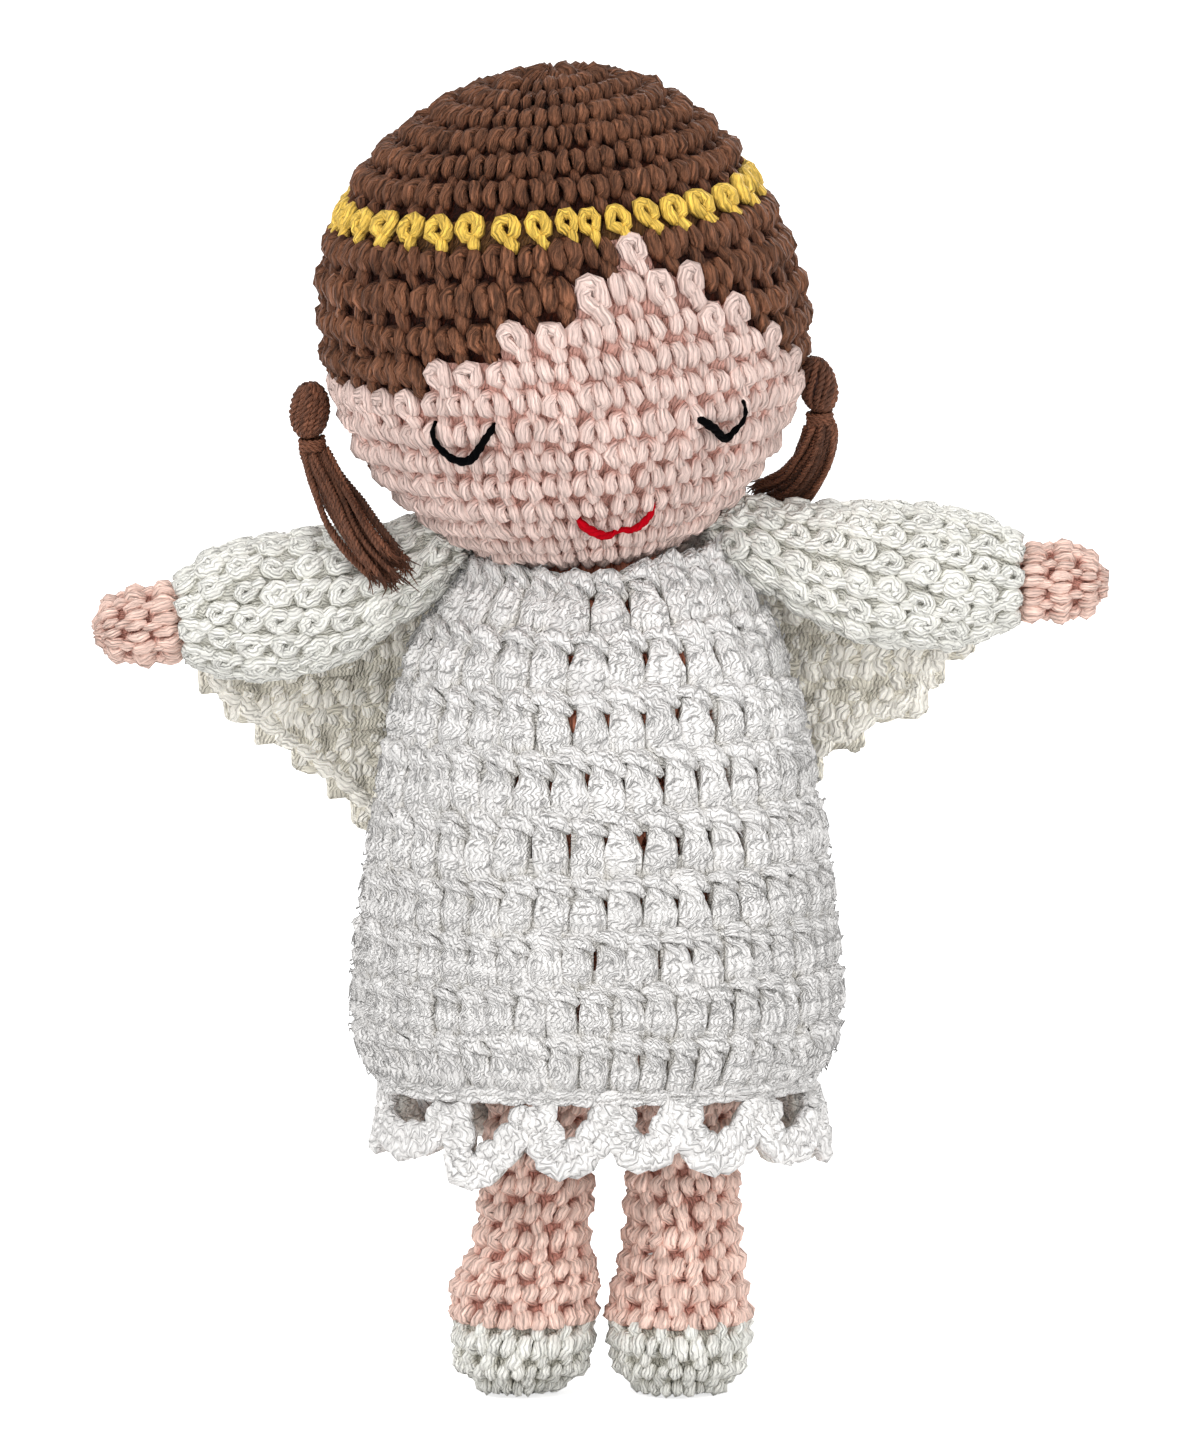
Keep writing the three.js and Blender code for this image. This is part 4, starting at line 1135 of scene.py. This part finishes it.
class DOLL_OT_dress(bpy.types.Operator):
    """Works the puff-stitch dress in rows from the collar to the hem"""

    bl_idname = "doll.dress"
    bl_label = "Dress"

    def execute(self, context):
        surface = dress_surface()
        rng = generator(40)
        bodice, skirt, cloth = Work(), Work(), Work()
        scale = surface.length / sum(height for height, _ in DRESS_ROWS)
        start, phase = 0.0, -180.0
        kinds = {}
        for name, (narrow, _) in PUFF_KINDS.items():
            strands = [[(a * (1 - 0.27 * narrow * (b < 4)), b, h, r) for a, b, h, r in strand]
                       for strand in PUFF_STRANDS[:5]] + PUFF_STRANDS[5:]
            kinds[name] = stitch_templates(PUFF, strands + PUFF_HAIRS, rng)
        turns = np.linspace(-0.5, 0.5, SLIT_CELLS + 1)
        centres = (turns[:-1] + turns[1:]) / 2
        alongs, used, top = [0.0], [], []
        for row, (height, count) in enumerate(DRESS_ROWS):
            height *= scale
            phase += PUFF_DRIFT * 360 / count
            slits = np.zeros(SLIT_CELLS, bool)
            groups = {}
            for place in round_places(count, phase, start, height):
                share = slit_width(place[0] * 360, row) * rng.uniform(0.7, 1.2)
                name = "open" if share > 0.8 else "ajar" if share > 0.5 else "shut"
                groups.setdefault(name, []).append(place)
                beside = (centres - place[0] - 0.5 / count + 0.5) % 1 - 0.5
                slits |= np.abs(beside) < PUFF_KINDS[name][1] / count
            puffs = bodice if row < BODICE_ROWS else skirt
            for name, chosen in groups.items():
                lay(puffs, surface, chosen, kinds[name], rng, fully_shaded_height=-2.0)
            across = ((turns - phase / 360) * count) % 1
            for share, slit in SLIT_STEPS:
                alongs.append(start + share * height)
                used.append(~slits if slit else np.ones(SLIT_CELLS, bool))
                top.append(-1.45 - 0.1 * np.abs(2 * np.abs(across - 0.5) - 1) ** 2)
            start += height
        self.add_hem(skirt, surface, rng)
        top = np.array([top[0], *top])[:, :-1]
        add_cloth(cloth, surface, turns, np.array(alongs), np.array(used), top,
                  np.full(top.shape, -DRESS_WALL), wraps=True)
        neck = joint_at("head_nod")
        bent = ("torso", "head", *(tuple((neck + (0, 0, rise)) * MM) for rise in NECK_BEND))
        top_puffs = finish(bodice, "dress_bodice_puffs", "dress_yarn", bent)
        low_puffs = finish(skirt, "dress_skirt_puffs", "dress_yarn", "torso")
        shell = finish(cloth, "dress_cloth", "dress_yarn", bent, "dress")
        return {"FINISHED"}

    def add_hem(self, puffs, surface, rng):
        """Chains the last row's foot into a rim."""
        turns = np.linspace(-0.5, 0.5, 240)
        along = np.full(240, surface.length - 0.2)
        path = surface.at(turns, along, np.full(240, -1.3))
        facing = surface.at(turns, along, np.full(240, -0.3)) - path
        templates = stitch_templates(CHAIN, CHAIN_STRANDS, rng)
        add_chain(puffs, Strip(path, facing), templates, rng, wide=0.62)


# The loops of the lace in front, as (azimuth, drop below the hem) along each.
LACE_LOOPS = [
    [(-81.5, 0.8), (-84.3, 2.6), (-78.8, 4.6), (-62.6, 5.5), (-51.2, 5.2), (-47.1, 3.1),
     (-45.5, 0.7)],
    [(-41.9, 0.4), (-40.4, 4.5), (-39.5, 7.0), (-34.5, 8.5), (-29.5, 7.3), (-24.5, 5.2),
     (-20.9, 3.0), (-19.1, 0.5)],
    [(-16.9, 0.2), (-15.3, 3.5), (-14.0, 5.9), (-10.0, 7.0), (-5.4, 6.0), (-0.8, 3.9), (2.7, 1.8),
     (4.6, 0.2)],
    [(5.7, 0.0), (5.0, 2.2), (5.7, 4.9), (9.8, 6.1), (14.6, 5.6), (17.7, 4.0), (20.9, 1.4),
     (23.5, 0.0)],
    [(25.1, 0.0), (23.8, 2.9), (25.3, 5.3), (30.0, 6.3), (35.7, 5.7), (40.8, 4.2), (45.3, 2.2),
     (49.3, 0.4)],
    [(51.9, 0.2), (50.0, 3.7), (52.8, 6.1), (60.9, 6.2), (69.4, 5.0), (76.5, 3.2), (77.4, 1.0)],
]
# The loop that those behind repeat, how far past the last one they start, and each one's points.
LACE_TWIN = LACE_LOOPS[2]
LACE_GAP = 1.5
LACE_POINTS = 70


def lace_surface():
    radius = DRESS_OUTLINE[-1][0] - DRESS_WALL / 2
    level = DRESS_OUTLINE[-1][1] - 0.3
    outline = [(radius + 0.2 * fall, level - fall) for fall in np.linspace(-1, 12, 20)]
    return Turned(outline, place_on_torso, outward=-1, oval=DEPTH_RATIO)


def add_chain(work, strip, templates, rng, wide=1.0, lift=0.0):
    """Lays chain stitches end to end along a strip."""
    links = max(round(strip.length / CHAIN["row"]), 1)
    height = strip.length / links
    places = [(0.0, CHAIN["pitch"] * wide, k * height, height) for k in range(links)]
    lay(work, strip, places, templates, rng, lift=lift, fully_shaded_height=-2.4)


class DOLL_OT_lace(bpy.types.Operator):
    """Hangs loops of chain stitches under the skirt"""

    bl_idname = "doll.lace"
    bl_label = "Lace"

    def execute(self, context):
        surface = lace_surface()
        rng = generator(50)
        work = Work()
        templates = stitch_templates(CHAIN, CHAIN_STRANDS, rng)
        behind = settings().lace_loops - len(LACE_LOOPS)
        last, twin = LACE_LOOPS[-1][-1][0], LACE_TWIN[0][0]
        step = (LACE_LOOPS[0][0][0] + 360 - last) / behind
        wide = step / (LACE_LOOPS[3][0][0] - twin)
        loops = LACE_LOOPS + [
            [(last + k * step + (turn - twin) * wide + LACE_GAP, fall) for turn, fall in LACE_TWIN]
            for k in range(behind)
        ]
        for loop in loops:
            route = smooth(loop, LACE_POINTS)
            turn, down = route[:, 0] / 360, route[:, 1] + 1.0
            path = surface.at(turn, down, np.zeros(LACE_POINTS))
            facing = surface.at(turn, down, np.ones(LACE_POINTS)) - path
            add_chain(work, Strip(path, facing), templates, rng, wide=1.15)
        finish(work, "lace_chain", "dress_yarn", "torso", "dress_lace")
        return {"FINISHED"}


TORSO_OUTLINE = [
    (1.0, 0.05), (8.0, 0.0), (13.5, 0.6), (20.2, 3.6), (22.5, 8.0), (23.0, 14.7), (22.1, 26.9),
    (19.8, 37.0), (16.0, 43.5), (12.4, 45.9), (9.2, 46.8), (7.8, 48.9), (6.6, 52.6), (3.9, 55.5),
    (0.6, 56.4),
]
# Height of a limb's round, the usual pitch of its stitches, and how far each round is turned
# against the last one, in stitches.
LIMB_ROW, LIMB_PITCH = 3.9, 4.3
LIMB_DRIFT = 0.3


def place_body(local):
    """Above the shoulders the neck leans over to the head's side."""
    share = np.clip((local[..., 2] - 45.8) / 3.1, 0, 1)
    share = share * share * (3 - 2 * share)
    moved = np.stack([local[..., 0] - LEAN_OF_NECK * share, local[..., 1], local[..., 2]], -1)
    return place_on_torso(moved)


def worked_limb(name, surface, rows, kind, body, replaced, seed, lift=0.0, strands=SINGLE_STRANDS,
                hollow=1.8, slot=None):
    """Works rows of (height, count) along a form from its start, and makes it a padded piece."""
    rng = generator(seed)
    work = Work()
    places = []
    start, phase = 0.0, 0.0
    scale = surface.length / sum(height for height, _ in rows)
    for height, count in rows:
        height *= scale
        phase -= LIMB_DRIFT * 360 / count
        places += round_places(count, phase, start, height)
        start += height
    lay(work, surface, places, single_templates(rng, strands, hollow), rng, lift=lift)
    finish(work, name, kind, body, replaced, slot=slot)


def counted(surface, row=LIMB_ROW, pitch=LIMB_PITCH):
    """Rows of one height along a form, each with the stitches that its girth takes."""
    number = max(round(surface.length / row), 1)
    height = surface.length / number
    girths = [TAU * surface.radius((k + 0.6) * surface.length / number) for k in range(number)]
    return [(height, max(round(girth / pitch), 6)) for girth in girths]


class DOLL_OT_body(bpy.types.Operator):
    """Works the peach body under the dress, with the neck, in a darker, redder peach that paints
    the shade inside the dress
    """

    bl_idname = "doll.body"
    bl_label = "Body"

    def execute(self, context):
        surface = Turned(smooth(TORSO_OUTLINE, 120), place_body, oval=DEPTH_RATIO)
        # The body takes the darker peach that paints the shade inside the dress.
        worked_limb("body_cover", surface, counted(surface), "body_yarn", "torso", "body_shell", 60,
                    lift=1.2, slot="limb_yarn")
        return {"FINISHED"}


SLEEVE_RADIUS = 8.9
WRIST_RADIUS = 4.5
HAND_RADIUS = 5.3
HAND_LENGTH = 10.8
HAND_ROWS = [(3.0, 6), (3.6, 9), (3.6, 10), (3.6, 10)]
SHOULDER_BALL = 6.0
ARM_RISE = 2.4
ARMS = {
    "left": {"sign": -1, "slope": 8.2, "sleeve": 26.8, "reach": 8.6},
    "right": {"sign": 1, "slope": 2.4, "sleeve": 28.6, "reach": 10.0},
}
# Two places along the arm, handed on with each sleeve but not used to bend it.
SLEEVE_BEND = [[0.0, 0.0, -5.0], [0.0, 0.0, 9.0]]
SLEEVE_PITCH = 3.75
SLEEVE_STRANDS = scaled(RING_STRANDS, 1.0, 1.34)


def arm_place(side):
    """Places a sleeve along its arm, a little raised where it meets the collar."""
    given = ARMS[side]
    slope = math.radians(given["slope"])
    along = np.array([given["sign"] * math.cos(slope), 0, -math.sin(slope)])
    axes = np.stack([np.cross((0, 1, 0), along), (0, 1, 0), along])
    pivot = joint_at(f"{side}_arm_swing")

    def place(local):
        near = np.clip(1 - local[..., 2] / (given["sleeve"] * 0.55), 0, 1.3)
        rise = 0.3 + ARM_RISE * near * near
        return local @ axes + pivot + rise[..., None] * np.array([0, 0, 1.0])

    return place


class DOLL_OT_arms(bpy.types.Operator):
    """Works the sleeves and the hands from the fingertips to the shoulders"""

    bl_idname = "doll.arms"
    bl_label = "Arms"

    def execute(self, context):
        for index, side in enumerate(ARMS):
            place = arm_place(side)
            sleeve, reach = ARMS[side]["sleeve"], ARMS[side]["reach"]
            ball = [(SHOULDER_BALL * math.cos(a), reach * math.sin(a))
                    for a in np.radians([-15, -35, -60, -88])]
            form = Turned(smooth([
                (WRIST_RADIUS + 0.9, sleeve + 0.6), (SLEEVE_RADIUS * 0.92, sleeve * 0.82),
                (SLEEVE_RADIUS, sleeve * 0.58), (SLEEVE_RADIUS * 0.94, sleeve * 0.3),
                (SHOULDER_BALL, 0), *ball,
            ], 90), place, outward=-1)
            ends = place(np.array(SLEEVE_BEND)) * MM
            bent = ("torso", f"{side}_arm", tuple(ends[0]), tuple(ends[1]))
            worked_limb(f"{side}_sleeve_stitches", form, counted(form, pitch=SLEEVE_PITCH),
                        "sleeve_yarn", bent, f"{side}_sleeve", 70 + index,
                        strands=SLEEVE_STRANDS, hollow=1.3)
            tip = sleeve + HAND_LENGTH
            form = Turned(smooth([
                (0.4, tip), (2.6, tip - 0.4), (HAND_RADIUS * 0.86, sleeve + HAND_LENGTH * 0.75),
                (HAND_RADIUS, sleeve + HAND_LENGTH * 0.4), (WRIST_RADIUS, sleeve - 1.4),
            ], 60), place, outward=-1)
            worked_limb(f"{side}_hand_stitches", form, HAND_ROWS, "limb_yarn", f"{side}_arm",
                        f"{side}_hand", 74 + index)
        return {"FINISHED"}


SHOE_HEIGHT = 8.9
SHOE_RADIUS = 9.1
SHOE_ROWS = [(3.2, 6), (3.3, 11), (3.2, 14), (3.2, 14)]
TOE_BULGE = 1.28
TOE_SHIFT = 2.1
LEG_ROW = 3.25
LEGS = {
    "left": {"foot": -9.7, "calf": 9.0, "sole": 4.8},
    "right": {"foot": 9.5, "calf": 8.2, "sole": 5.3},
}


def leg_place(side):
    hip = joint_at(f"{side}_leg_swing")
    foot = middle()[0] + LEGS[side]["foot"]
    tilt = (hip[0] - foot) / hip[2]

    def place(local):
        share = np.clip((local[..., 2] - SHOE_HEIGHT * 0.3) / (SHOE_HEIGHT * 1.7), 0, 1)
        share = 1 - share * share * (3 - 2 * share)
        deep = local[..., 1] * (1 + (TOE_BULGE - 1) * share) - TOE_SHIFT * share
        level = np.maximum(local[..., 2], 0.0)
        aside = 0.6 * np.clip((level - SHOE_HEIGHT * 1.3) / SHOE_HEIGHT, 0, 1)
        return np.stack([
            local[..., 0] + tilt * (level - hip[2]) + hip[0] + aside, deep + hip[1], level], -1)

    return place


class DOLL_OT_legs(bpy.types.Operator):
    """Works the shoes and the legs from the soles to the hips"""

    bl_idname = "doll.legs"
    bl_label = "Legs"

    def execute(self, context):
        for index, side in enumerate(LEGS):
            place = leg_place(side)
            calf, sole = LEGS[side]["calf"], LEGS[side]["sole"]
            form = Turned(smooth([
                (0.5, 0.0), (sole * 0.6, 0.0), (sole, 0.25), (SHOE_RADIUS - 1.6, 2.4),
                (SHOE_RADIUS - 0.5, SHOE_HEIGHT * 0.45), (SHOE_RADIUS, SHOE_HEIGHT * 0.85),
                (SHOE_RADIUS, SHOE_HEIGHT + 0.5),
            ], 80), place)
            worked_limb(f"{side}_shoe_stitches", form, SHOE_ROWS, "sleeve_yarn", f"{side}_leg",
                        f"{side}_shoe", 80 + index)
            cap = [(LEG_RADIUS * math.cos(a), HIP_HEIGHT + LEG_RADIUS * math.sin(a))
                   for a in np.radians([25, 50, 75, 87])]
            form = Turned(smooth([
                (SHOE_RADIUS, SHOE_HEIGHT - 0.1), (calf, SHOE_HEIGHT + 5),
                (LEG_RADIUS + 0.5, SHOE_HEIGHT + 9.5), (LEG_RADIUS + 0.2, HIP_HEIGHT * 0.56),
                (LEG_RADIUS, HIP_HEIGHT), *cap,
            ], 90), place)
            worked_limb(f"{side}_leg_stitches", form, counted(form, row=LEG_ROW), "limb_yarn",
                        f"{side}_leg", f"{side}_leg", 84 + index)
        return {"FINISHED"}


# The length of each row of a wing, from the top down.
WING_ROWS = {
    "left": [34.2, 42.2, 46.4, 43.8, 39.8, 36.0, 31.8, 28.8, 24.4, 18.0],
    "right": [34.2, 42.2, 48.2, 44.4, 40.2, 37.8, 29.6, 24.0, 19.0, 13.0],
}
WING_ROW_HEIGHT = 3.65
WING_THICKNESS = 3.0
WING_CORE = 0.45
WING_SWEEP = 10.0
WING_ROLL = 5.2
WING_PITCH = 3.9
WING_HOLLOW = 0.9
WING_LOOPS = scaled(SINGLE_STRANDS, 1.08, 1.25)
# The same stitch upside down, for the rows between.
WING_RIDGES = [[(a, SINGLE["row"] - b, h, r) for a, b, h, r in strand] for strand in WING_LOOPS]


class DOLL_OT_wings(bpy.types.Operator):
    """Works the flat wings row by row, on both faces"""

    bl_idname = "doll.wings"
    bl_label = "Wings"

    def execute(self, context):
        for index, (side, sign) in enumerate((("left", -1), ("right", 1))):
            rng = generator(90 + index)
            lengths = WING_ROWS[side]
            pivot = joint_at(f"{side}_wing_fold")
            up = unit(np.array(JOINTS[f"{side}_wing_fold"]["axis"], float) * sign)
            level = rotation("y", -WING_ROLL) @ rotation("z", -sign * WING_SWEEP) @ (1, 0, 0)
            across = unit(level - up * np.dot(level, up))
            back = np.cross(up, across)
            top = len(lengths) * WING_ROW_HEIGHT
            stitches, cloth = Work(), Work()
            loops, ridges = (single_templates(rng, strands, WING_HOLLOW)
                             for strands in (WING_LOOPS, WING_RIDGES))
            columns = np.arange(round(max(lengths)) + 1.0)
            used = []
            for row, length in enumerate(lengths):
                count = max(round(length / WING_PITCH), 3)
                pitch = length / count
                shift = 0.125 if row % 2 else 0.0
                places = [
                    (sign * (k + 0.5 + (shift if k < count - 1 else 0)) * length / count, pitch,
                     row * WING_ROW_HEIGHT, WING_ROW_HEIGHT)
                    for k in range(count)
                ]
                for facing, depth in ((-back, 0.0), (back, WING_THICKNESS)):
                    panel = Panel(pivot + up * top + back * depth, across, -up, facing)
                    lay(stitches, panel, places, ridges if row % 2 else loops, rng)
                used += [columns[:-1] + 1 <= length - 0.4] * 3
            self.add_border(stitches, lengths, pivot, up, across, back, sign, rng)
            panel = Panel(pivot + up * top + back * WING_THICKNESS / 2, across, -up, -back)
            alongs = np.linspace(0.3, top - 0.3, len(used) + 1)
            level = np.full((len(alongs), len(columns)), WING_CORE)
            add_cloth(cloth, panel, sign * columns, alongs, np.array(used), level, -level,
                      wraps=False)
            made = finish(stitches, f"{side}_wing_stitches", "wing_yarn", f"{side}_wing")
            shell = finish(cloth, f"{side}_wing_cloth", "wing_yarn", f"{side}_wing", f"{side}_wing")
        return {"FINISHED"}

    def add_border(self, stitches, lengths, pivot, up, across, back, sign, rng):
        """Chains a rounded edge along the ends of the rows."""
        top = len(lengths) * WING_ROW_HEIGHT
        ends = [(length - 0.9, top - (row + 0.5) * WING_ROW_HEIGHT)
                for row, length in enumerate(lengths)]
        ends = smooth([*ends, (lengths[-1] - 4.0, 1.2), (1.0, 1.2)], 80)
        centre = pivot + back * WING_THICKNESS / 2
        path = centre + ends[:, :1] * sign * across + ends[:, 1:] * up
        slope = unit(np.gradient(ends, axis=0))
        facing = -slope[:, 1:] * sign * across + slope[:, :1] * up
        templates = stitch_templates(CHAIN, CHAIN_STRANDS, rng)
        add_chain(stitches, Strip(path, facing), templates, rng, wide=0.9, lift=-0.4)


# ---- Filling and rattle

# Voxels of the filling's even mesh, and the size and depth of its lumps, in metres.
FILLING_VOXEL = 0.0012
LUMP_SIZE, LUMP_DEPTH = 0.006, 0.0006


class DOLL_OT_filling(bpy.types.Operator):
    """Puts lumpy filling in the place of each plain filling solid, and finishes the rattle"""

    bl_idname = "doll.filling"
    bl_label = "Filling and rattle"

    def execute(self, context):
        material = filling_material()
        for name, found in frame["nodes"].items():
            if "_stuffing" in name:
                self.add_filling(name, found, material)
            elif name.startswith("rattle_"):
                found.data.materials.clear()
                found.data.materials.append(plastic("capsule" if "capsule" in name else "bead"))
        return {"FINISHED"}

    def add_filling(self, name, found, material):
        bpy.ops.object.select_all(action="DESELECT")
        made = bpy.data.objects.new(f"{name}_filling", found.data.copy())
        bpy.context.scene.collection.objects.link(made)
        bpy.context.view_layer.objects.active = made
        made.select_set(True)
        bpy.ops.object.mode_set(mode="EDIT")
        bpy.ops.mesh.select_all(action="SELECT")
        bpy.ops.mesh.remove_doubles(threshold=0.00002)
        bpy.ops.mesh.normals_make_consistent(inside=False)
        bpy.ops.object.mode_set(mode="OBJECT")
        remesh = made.modifiers.new("even", "REMESH")
        remesh.mode = "VOXEL"
        remesh.voxel_size = FILLING_VOXEL
        lumps = bpy.data.textures.get("lumps") or bpy.data.textures.new("lumps", "CLOUDS")
        lumps.noise_scale = LUMP_SIZE
        push = made.modifiers.new("lumps", "DISPLACE")
        push.texture = lumps
        push.texture_coords = "LOCAL"
        push.strength = LUMP_DEPTH
        push.mid_level = 1.0
        for modifier in ("even", "lumps"):
            bpy.ops.object.modifier_apply(modifier=modifier)
        bpy.ops.object.shade_smooth()
        made.data.materials.clear()
        made.data.materials.append(material)
        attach(made, found["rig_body"])
        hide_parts(name)


def filling_material():
    made, tree, shader = new_material("filling_fibre")
    where = node(tree, "ShaderNodeTexCoord", (-900, 0))
    fibres = node(tree, "ShaderNodeTexNoise", (-700, 0),
                  {"Scale": 900.0, "Detail": 6.0, "Distortion": 2.5})
    ramp = node(tree, "ShaderNodeValToRGB", (-450, 100))
    ramp.color_ramp.elements[0].color = (0.72, 0.72, 0.70, 1)
    ramp.color_ramp.elements[1].color = (0.93, 0.93, 0.92, 1)
    bump = node(tree, "ShaderNodeBump", (-200, -200), {"Distance": 0.0006})
    shader.inputs["Roughness"].default_value = 1.0
    link(tree, (where.outputs["Object"], fibres.inputs["Vector"]),
         (fibres.outputs["Fac"], ramp.inputs[0]), (ramp.outputs[0], shader.inputs["Base Color"]),
         (fibres.outputs["Fac"], bump.inputs["Height"]), (bump.outputs[0], shader.inputs["Normal"]))
    return made


PLASTICS = {"capsule": (0.72, 0.78, 0.82), "bead": (0.52, 0.56, 0.62)}


def plastic(kind):
    """Milky plastic for the capsule's halves, and a plainer one for the beads."""
    found = bpy.data.materials.get(f"moulded_{kind}")
    if found:
        return found
    base = PLASTICS[kind]
    made, tree, shader = new_material(f"moulded_{kind}")
    where = node(tree, "ShaderNodeTexCoord", (-900, 0))
    grain = node(tree, "ShaderNodeTexNoise", (-700, 0), {"Scale": 700.0})
    mixed = node(tree, "ShaderNodeMix", (-400, 100),
                 {"A": (*[v * 0.9 for v in base], 1), "B": (*base, 1)}, data_type="RGBA")
    rough = node(tree, "ShaderNodeMapRange", (-400, -150), {"To Min": 0.32, "To Max": 0.48})
    bump = node(tree, "ShaderNodeBump", (-200, -300), {"Distance": 0.00004})
    speck = grain.outputs["Fac"]
    link(tree, (where.outputs["Object"], grain.inputs["Vector"]), (speck, mixed.inputs["Factor"]),
         (mixed.outputs["Result"], shader.inputs["Base Color"]), (speck, rough.inputs["Value"]),
         (rough.outputs[0], shader.inputs["Roughness"]), (speck, bump.inputs["Height"]),
         (bump.outputs[0], shader.inputs["Normal"]))
    return made


# ---- Stage

# The camera looks down by this many degrees from this far off, in metres.
CAMERA_TILT = 6.0
CAMERA_DISTANCE = 2.87
CAMERA_LENS = 600
VIEW_MIDDLE = (-0.0001, 0.0, 0.0811)
FLOOR_SIZE = 12
# Each lamp's place, size and power.
LAMPS = [
    ("key_lamp", (-0.42, -0.80, 0.62), 0.55, 3.2),
    ("fill_lamp", (0.62, -0.62, 0.30), 0.60, 1.8),
    ("top_lamp", (0.05, -0.05, 0.85), 0.60, 1.1),
    ("low_lamp", (-0.15, -0.95, 0.09), 0.40, 1.7),
    ("back_lamp", (0.20, 0.95, 0.45), 0.60, 2.2),
]


class DOLL_OT_stage(bpy.types.Operator):
    """Sets the pale floor, the soft lamps, the white surroundings and the camera"""

    bl_idname = "doll.stage"
    bl_label = "Stage"

    def execute(self, context):
        self.add_camera(context)
        bpy.ops.object.select_all(action="DESELECT")
        bpy.ops.mesh.primitive_plane_add(size=FLOOR_SIZE, location=(0, 0, 0))
        floor = context.active_object
        floor.name = "floor"
        floor.data.materials.append(floor_material())
        floor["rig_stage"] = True
        for name, place, size, power in LAMPS:
            lamp = bpy.data.lights.new(name, "AREA")
            lamp.shape = "DISK"
            lamp.size = size
            lamp.energy = power
            holder = bpy.data.objects.new(name, lamp)
            context.scene.collection.objects.link(holder)
            holder.location = place
            holder.rotation_euler = (
                (Vector(VIEW_MIDDLE) - Vector(place)).to_track_quat("-Z", "Y").to_euler())
        world = bpy.data.worlds.new("surroundings")
        world.use_nodes = True
        context.scene.world = world
        self.light_world(world.node_tree)
        context.scene.view_settings.view_transform = "Standard"
        return {"FINISHED"}

    def add_camera(self, context):
        camera = bpy.data.cameras.new("camera")
        camera.lens = CAMERA_LENS
        camera.sensor_width = 36
        camera.clip_end = 50
        holder = bpy.data.objects.new("camera", camera)
        context.scene.collection.objects.link(holder)
        tilt = math.radians(CAMERA_TILT)
        back = Vector((0, -math.cos(tilt), math.sin(tilt)))
        holder.location = Vector(VIEW_MIDDLE) + back * CAMERA_DISTANCE
        holder.rotation_euler = (-back).to_track_quat("-Z", "Y").to_euler()
        context.scene.camera = holder

    def light_world(self, tree):
        tree.nodes.clear()
        direct = seen_by(tree, "Camera", "Glossy", "Transmission")
        strength = sums(tree, "ADD", sums(tree, "MULTIPLY", direct, 0.1), 0.90)
        lit = node(tree, "ShaderNodeBackground", (-100, 0), {"Color": (1, 1, 1, 1)})
        result = node(tree, "ShaderNodeOutputWorld", (100, 0))
        link(tree, (strength, lit.inputs["Strength"]), (lit.outputs[0], result.inputs[0]))


def seen_by(tree, *rays):
    """1 for the named kinds of rays and 0 for the rest."""
    found = node(tree, "ShaderNodeLightPath", (-700, 200)).outputs
    value, *others = (found[f"Is {ray} Ray"] for ray in rays)
    for other in others:
        value = sums(tree, "MAXIMUM", value, other)
    return value


def floor_material():
    """Pale matt floor that shows white, apart from the shadow that falls on it."""
    made, tree, _ = new_material("floor_paper")
    tree.nodes.clear()
    matt = node(tree, "ShaderNodeBsdfDiffuse", (-300, 100), {"Color": (0.80, 0.80, 0.80, 1)})
    glow = node(tree, "ShaderNodeEmission", (-300, -100))
    both = node(tree, "ShaderNodeAddShader", (-100, 0))
    result = node(tree, "ShaderNodeOutputMaterial", (100, 0))
    strength = sums(tree, "MULTIPLY", seen_by(tree, "Camera", "Glossy"), 0.72)
    link(tree, (strength, glow.inputs["Strength"]), (matt.outputs[0], both.inputs[0]),
         (glow.outputs[0], both.inputs[1]), (both.outputs[0], result.inputs[0]))
    return made


# ---- Panel, registration and the run

STEPS = (
    "stage", "head", "features", "pigtails", "body", "arms", "legs", "lace", "dress", "wings",
    "filling",
)


class DOLL_PT_making(bpy.types.Panel):
    """Lists the steps that make the doll, with its sizes and colours"""

    bl_idname = "DOLL_PT_making"
    bl_label = "Crochet doll"
    bl_space_type = "VIEW_3D"
    bl_region_type = "UI"
    bl_category = "Crochet doll"

    def draw(self, context):
        for step in STEPS:
            self.layout.operator(f"doll.{step}")
        for group in (context.scene.doll_stitches, context.scene.doll_yarns):
            for name in group.__annotations__:
                self.layout.prop(group, name)


CLASSES = (
    DollYarns, DollStitches,
    DOLL_OT_stage, DOLL_OT_head, DOLL_OT_features, DOLL_OT_pigtails, DOLL_OT_body, DOLL_OT_arms,
    DOLL_OT_legs, DOLL_OT_dress, DOLL_OT_lace, DOLL_OT_wings, DOLL_OT_filling,
    DOLL_PT_making,
)


def register():
    for kind in CLASSES:
        bpy.utils.register_class(kind)
    bpy.types.Scene.doll_yarns = PointerProperty(type=DollYarns)
    bpy.types.Scene.doll_stitches = PointerProperty(type=DollStitches)


def unregister():
    del bpy.types.Scene.doll_stitches
    del bpy.types.Scene.doll_yarns
    for kind in reversed(CLASSES):
        bpy.utils.unregister_class(kind)


def main():
    register()
    for step in STEPS:
        getattr(bpy.ops.doll, step)()
    boxes = {"cad": cad_box, "visual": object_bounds()}
    {name: [list(corner) for corner in box] for name, box in boxes.items()}


if __name__ == "__main__":
    main()
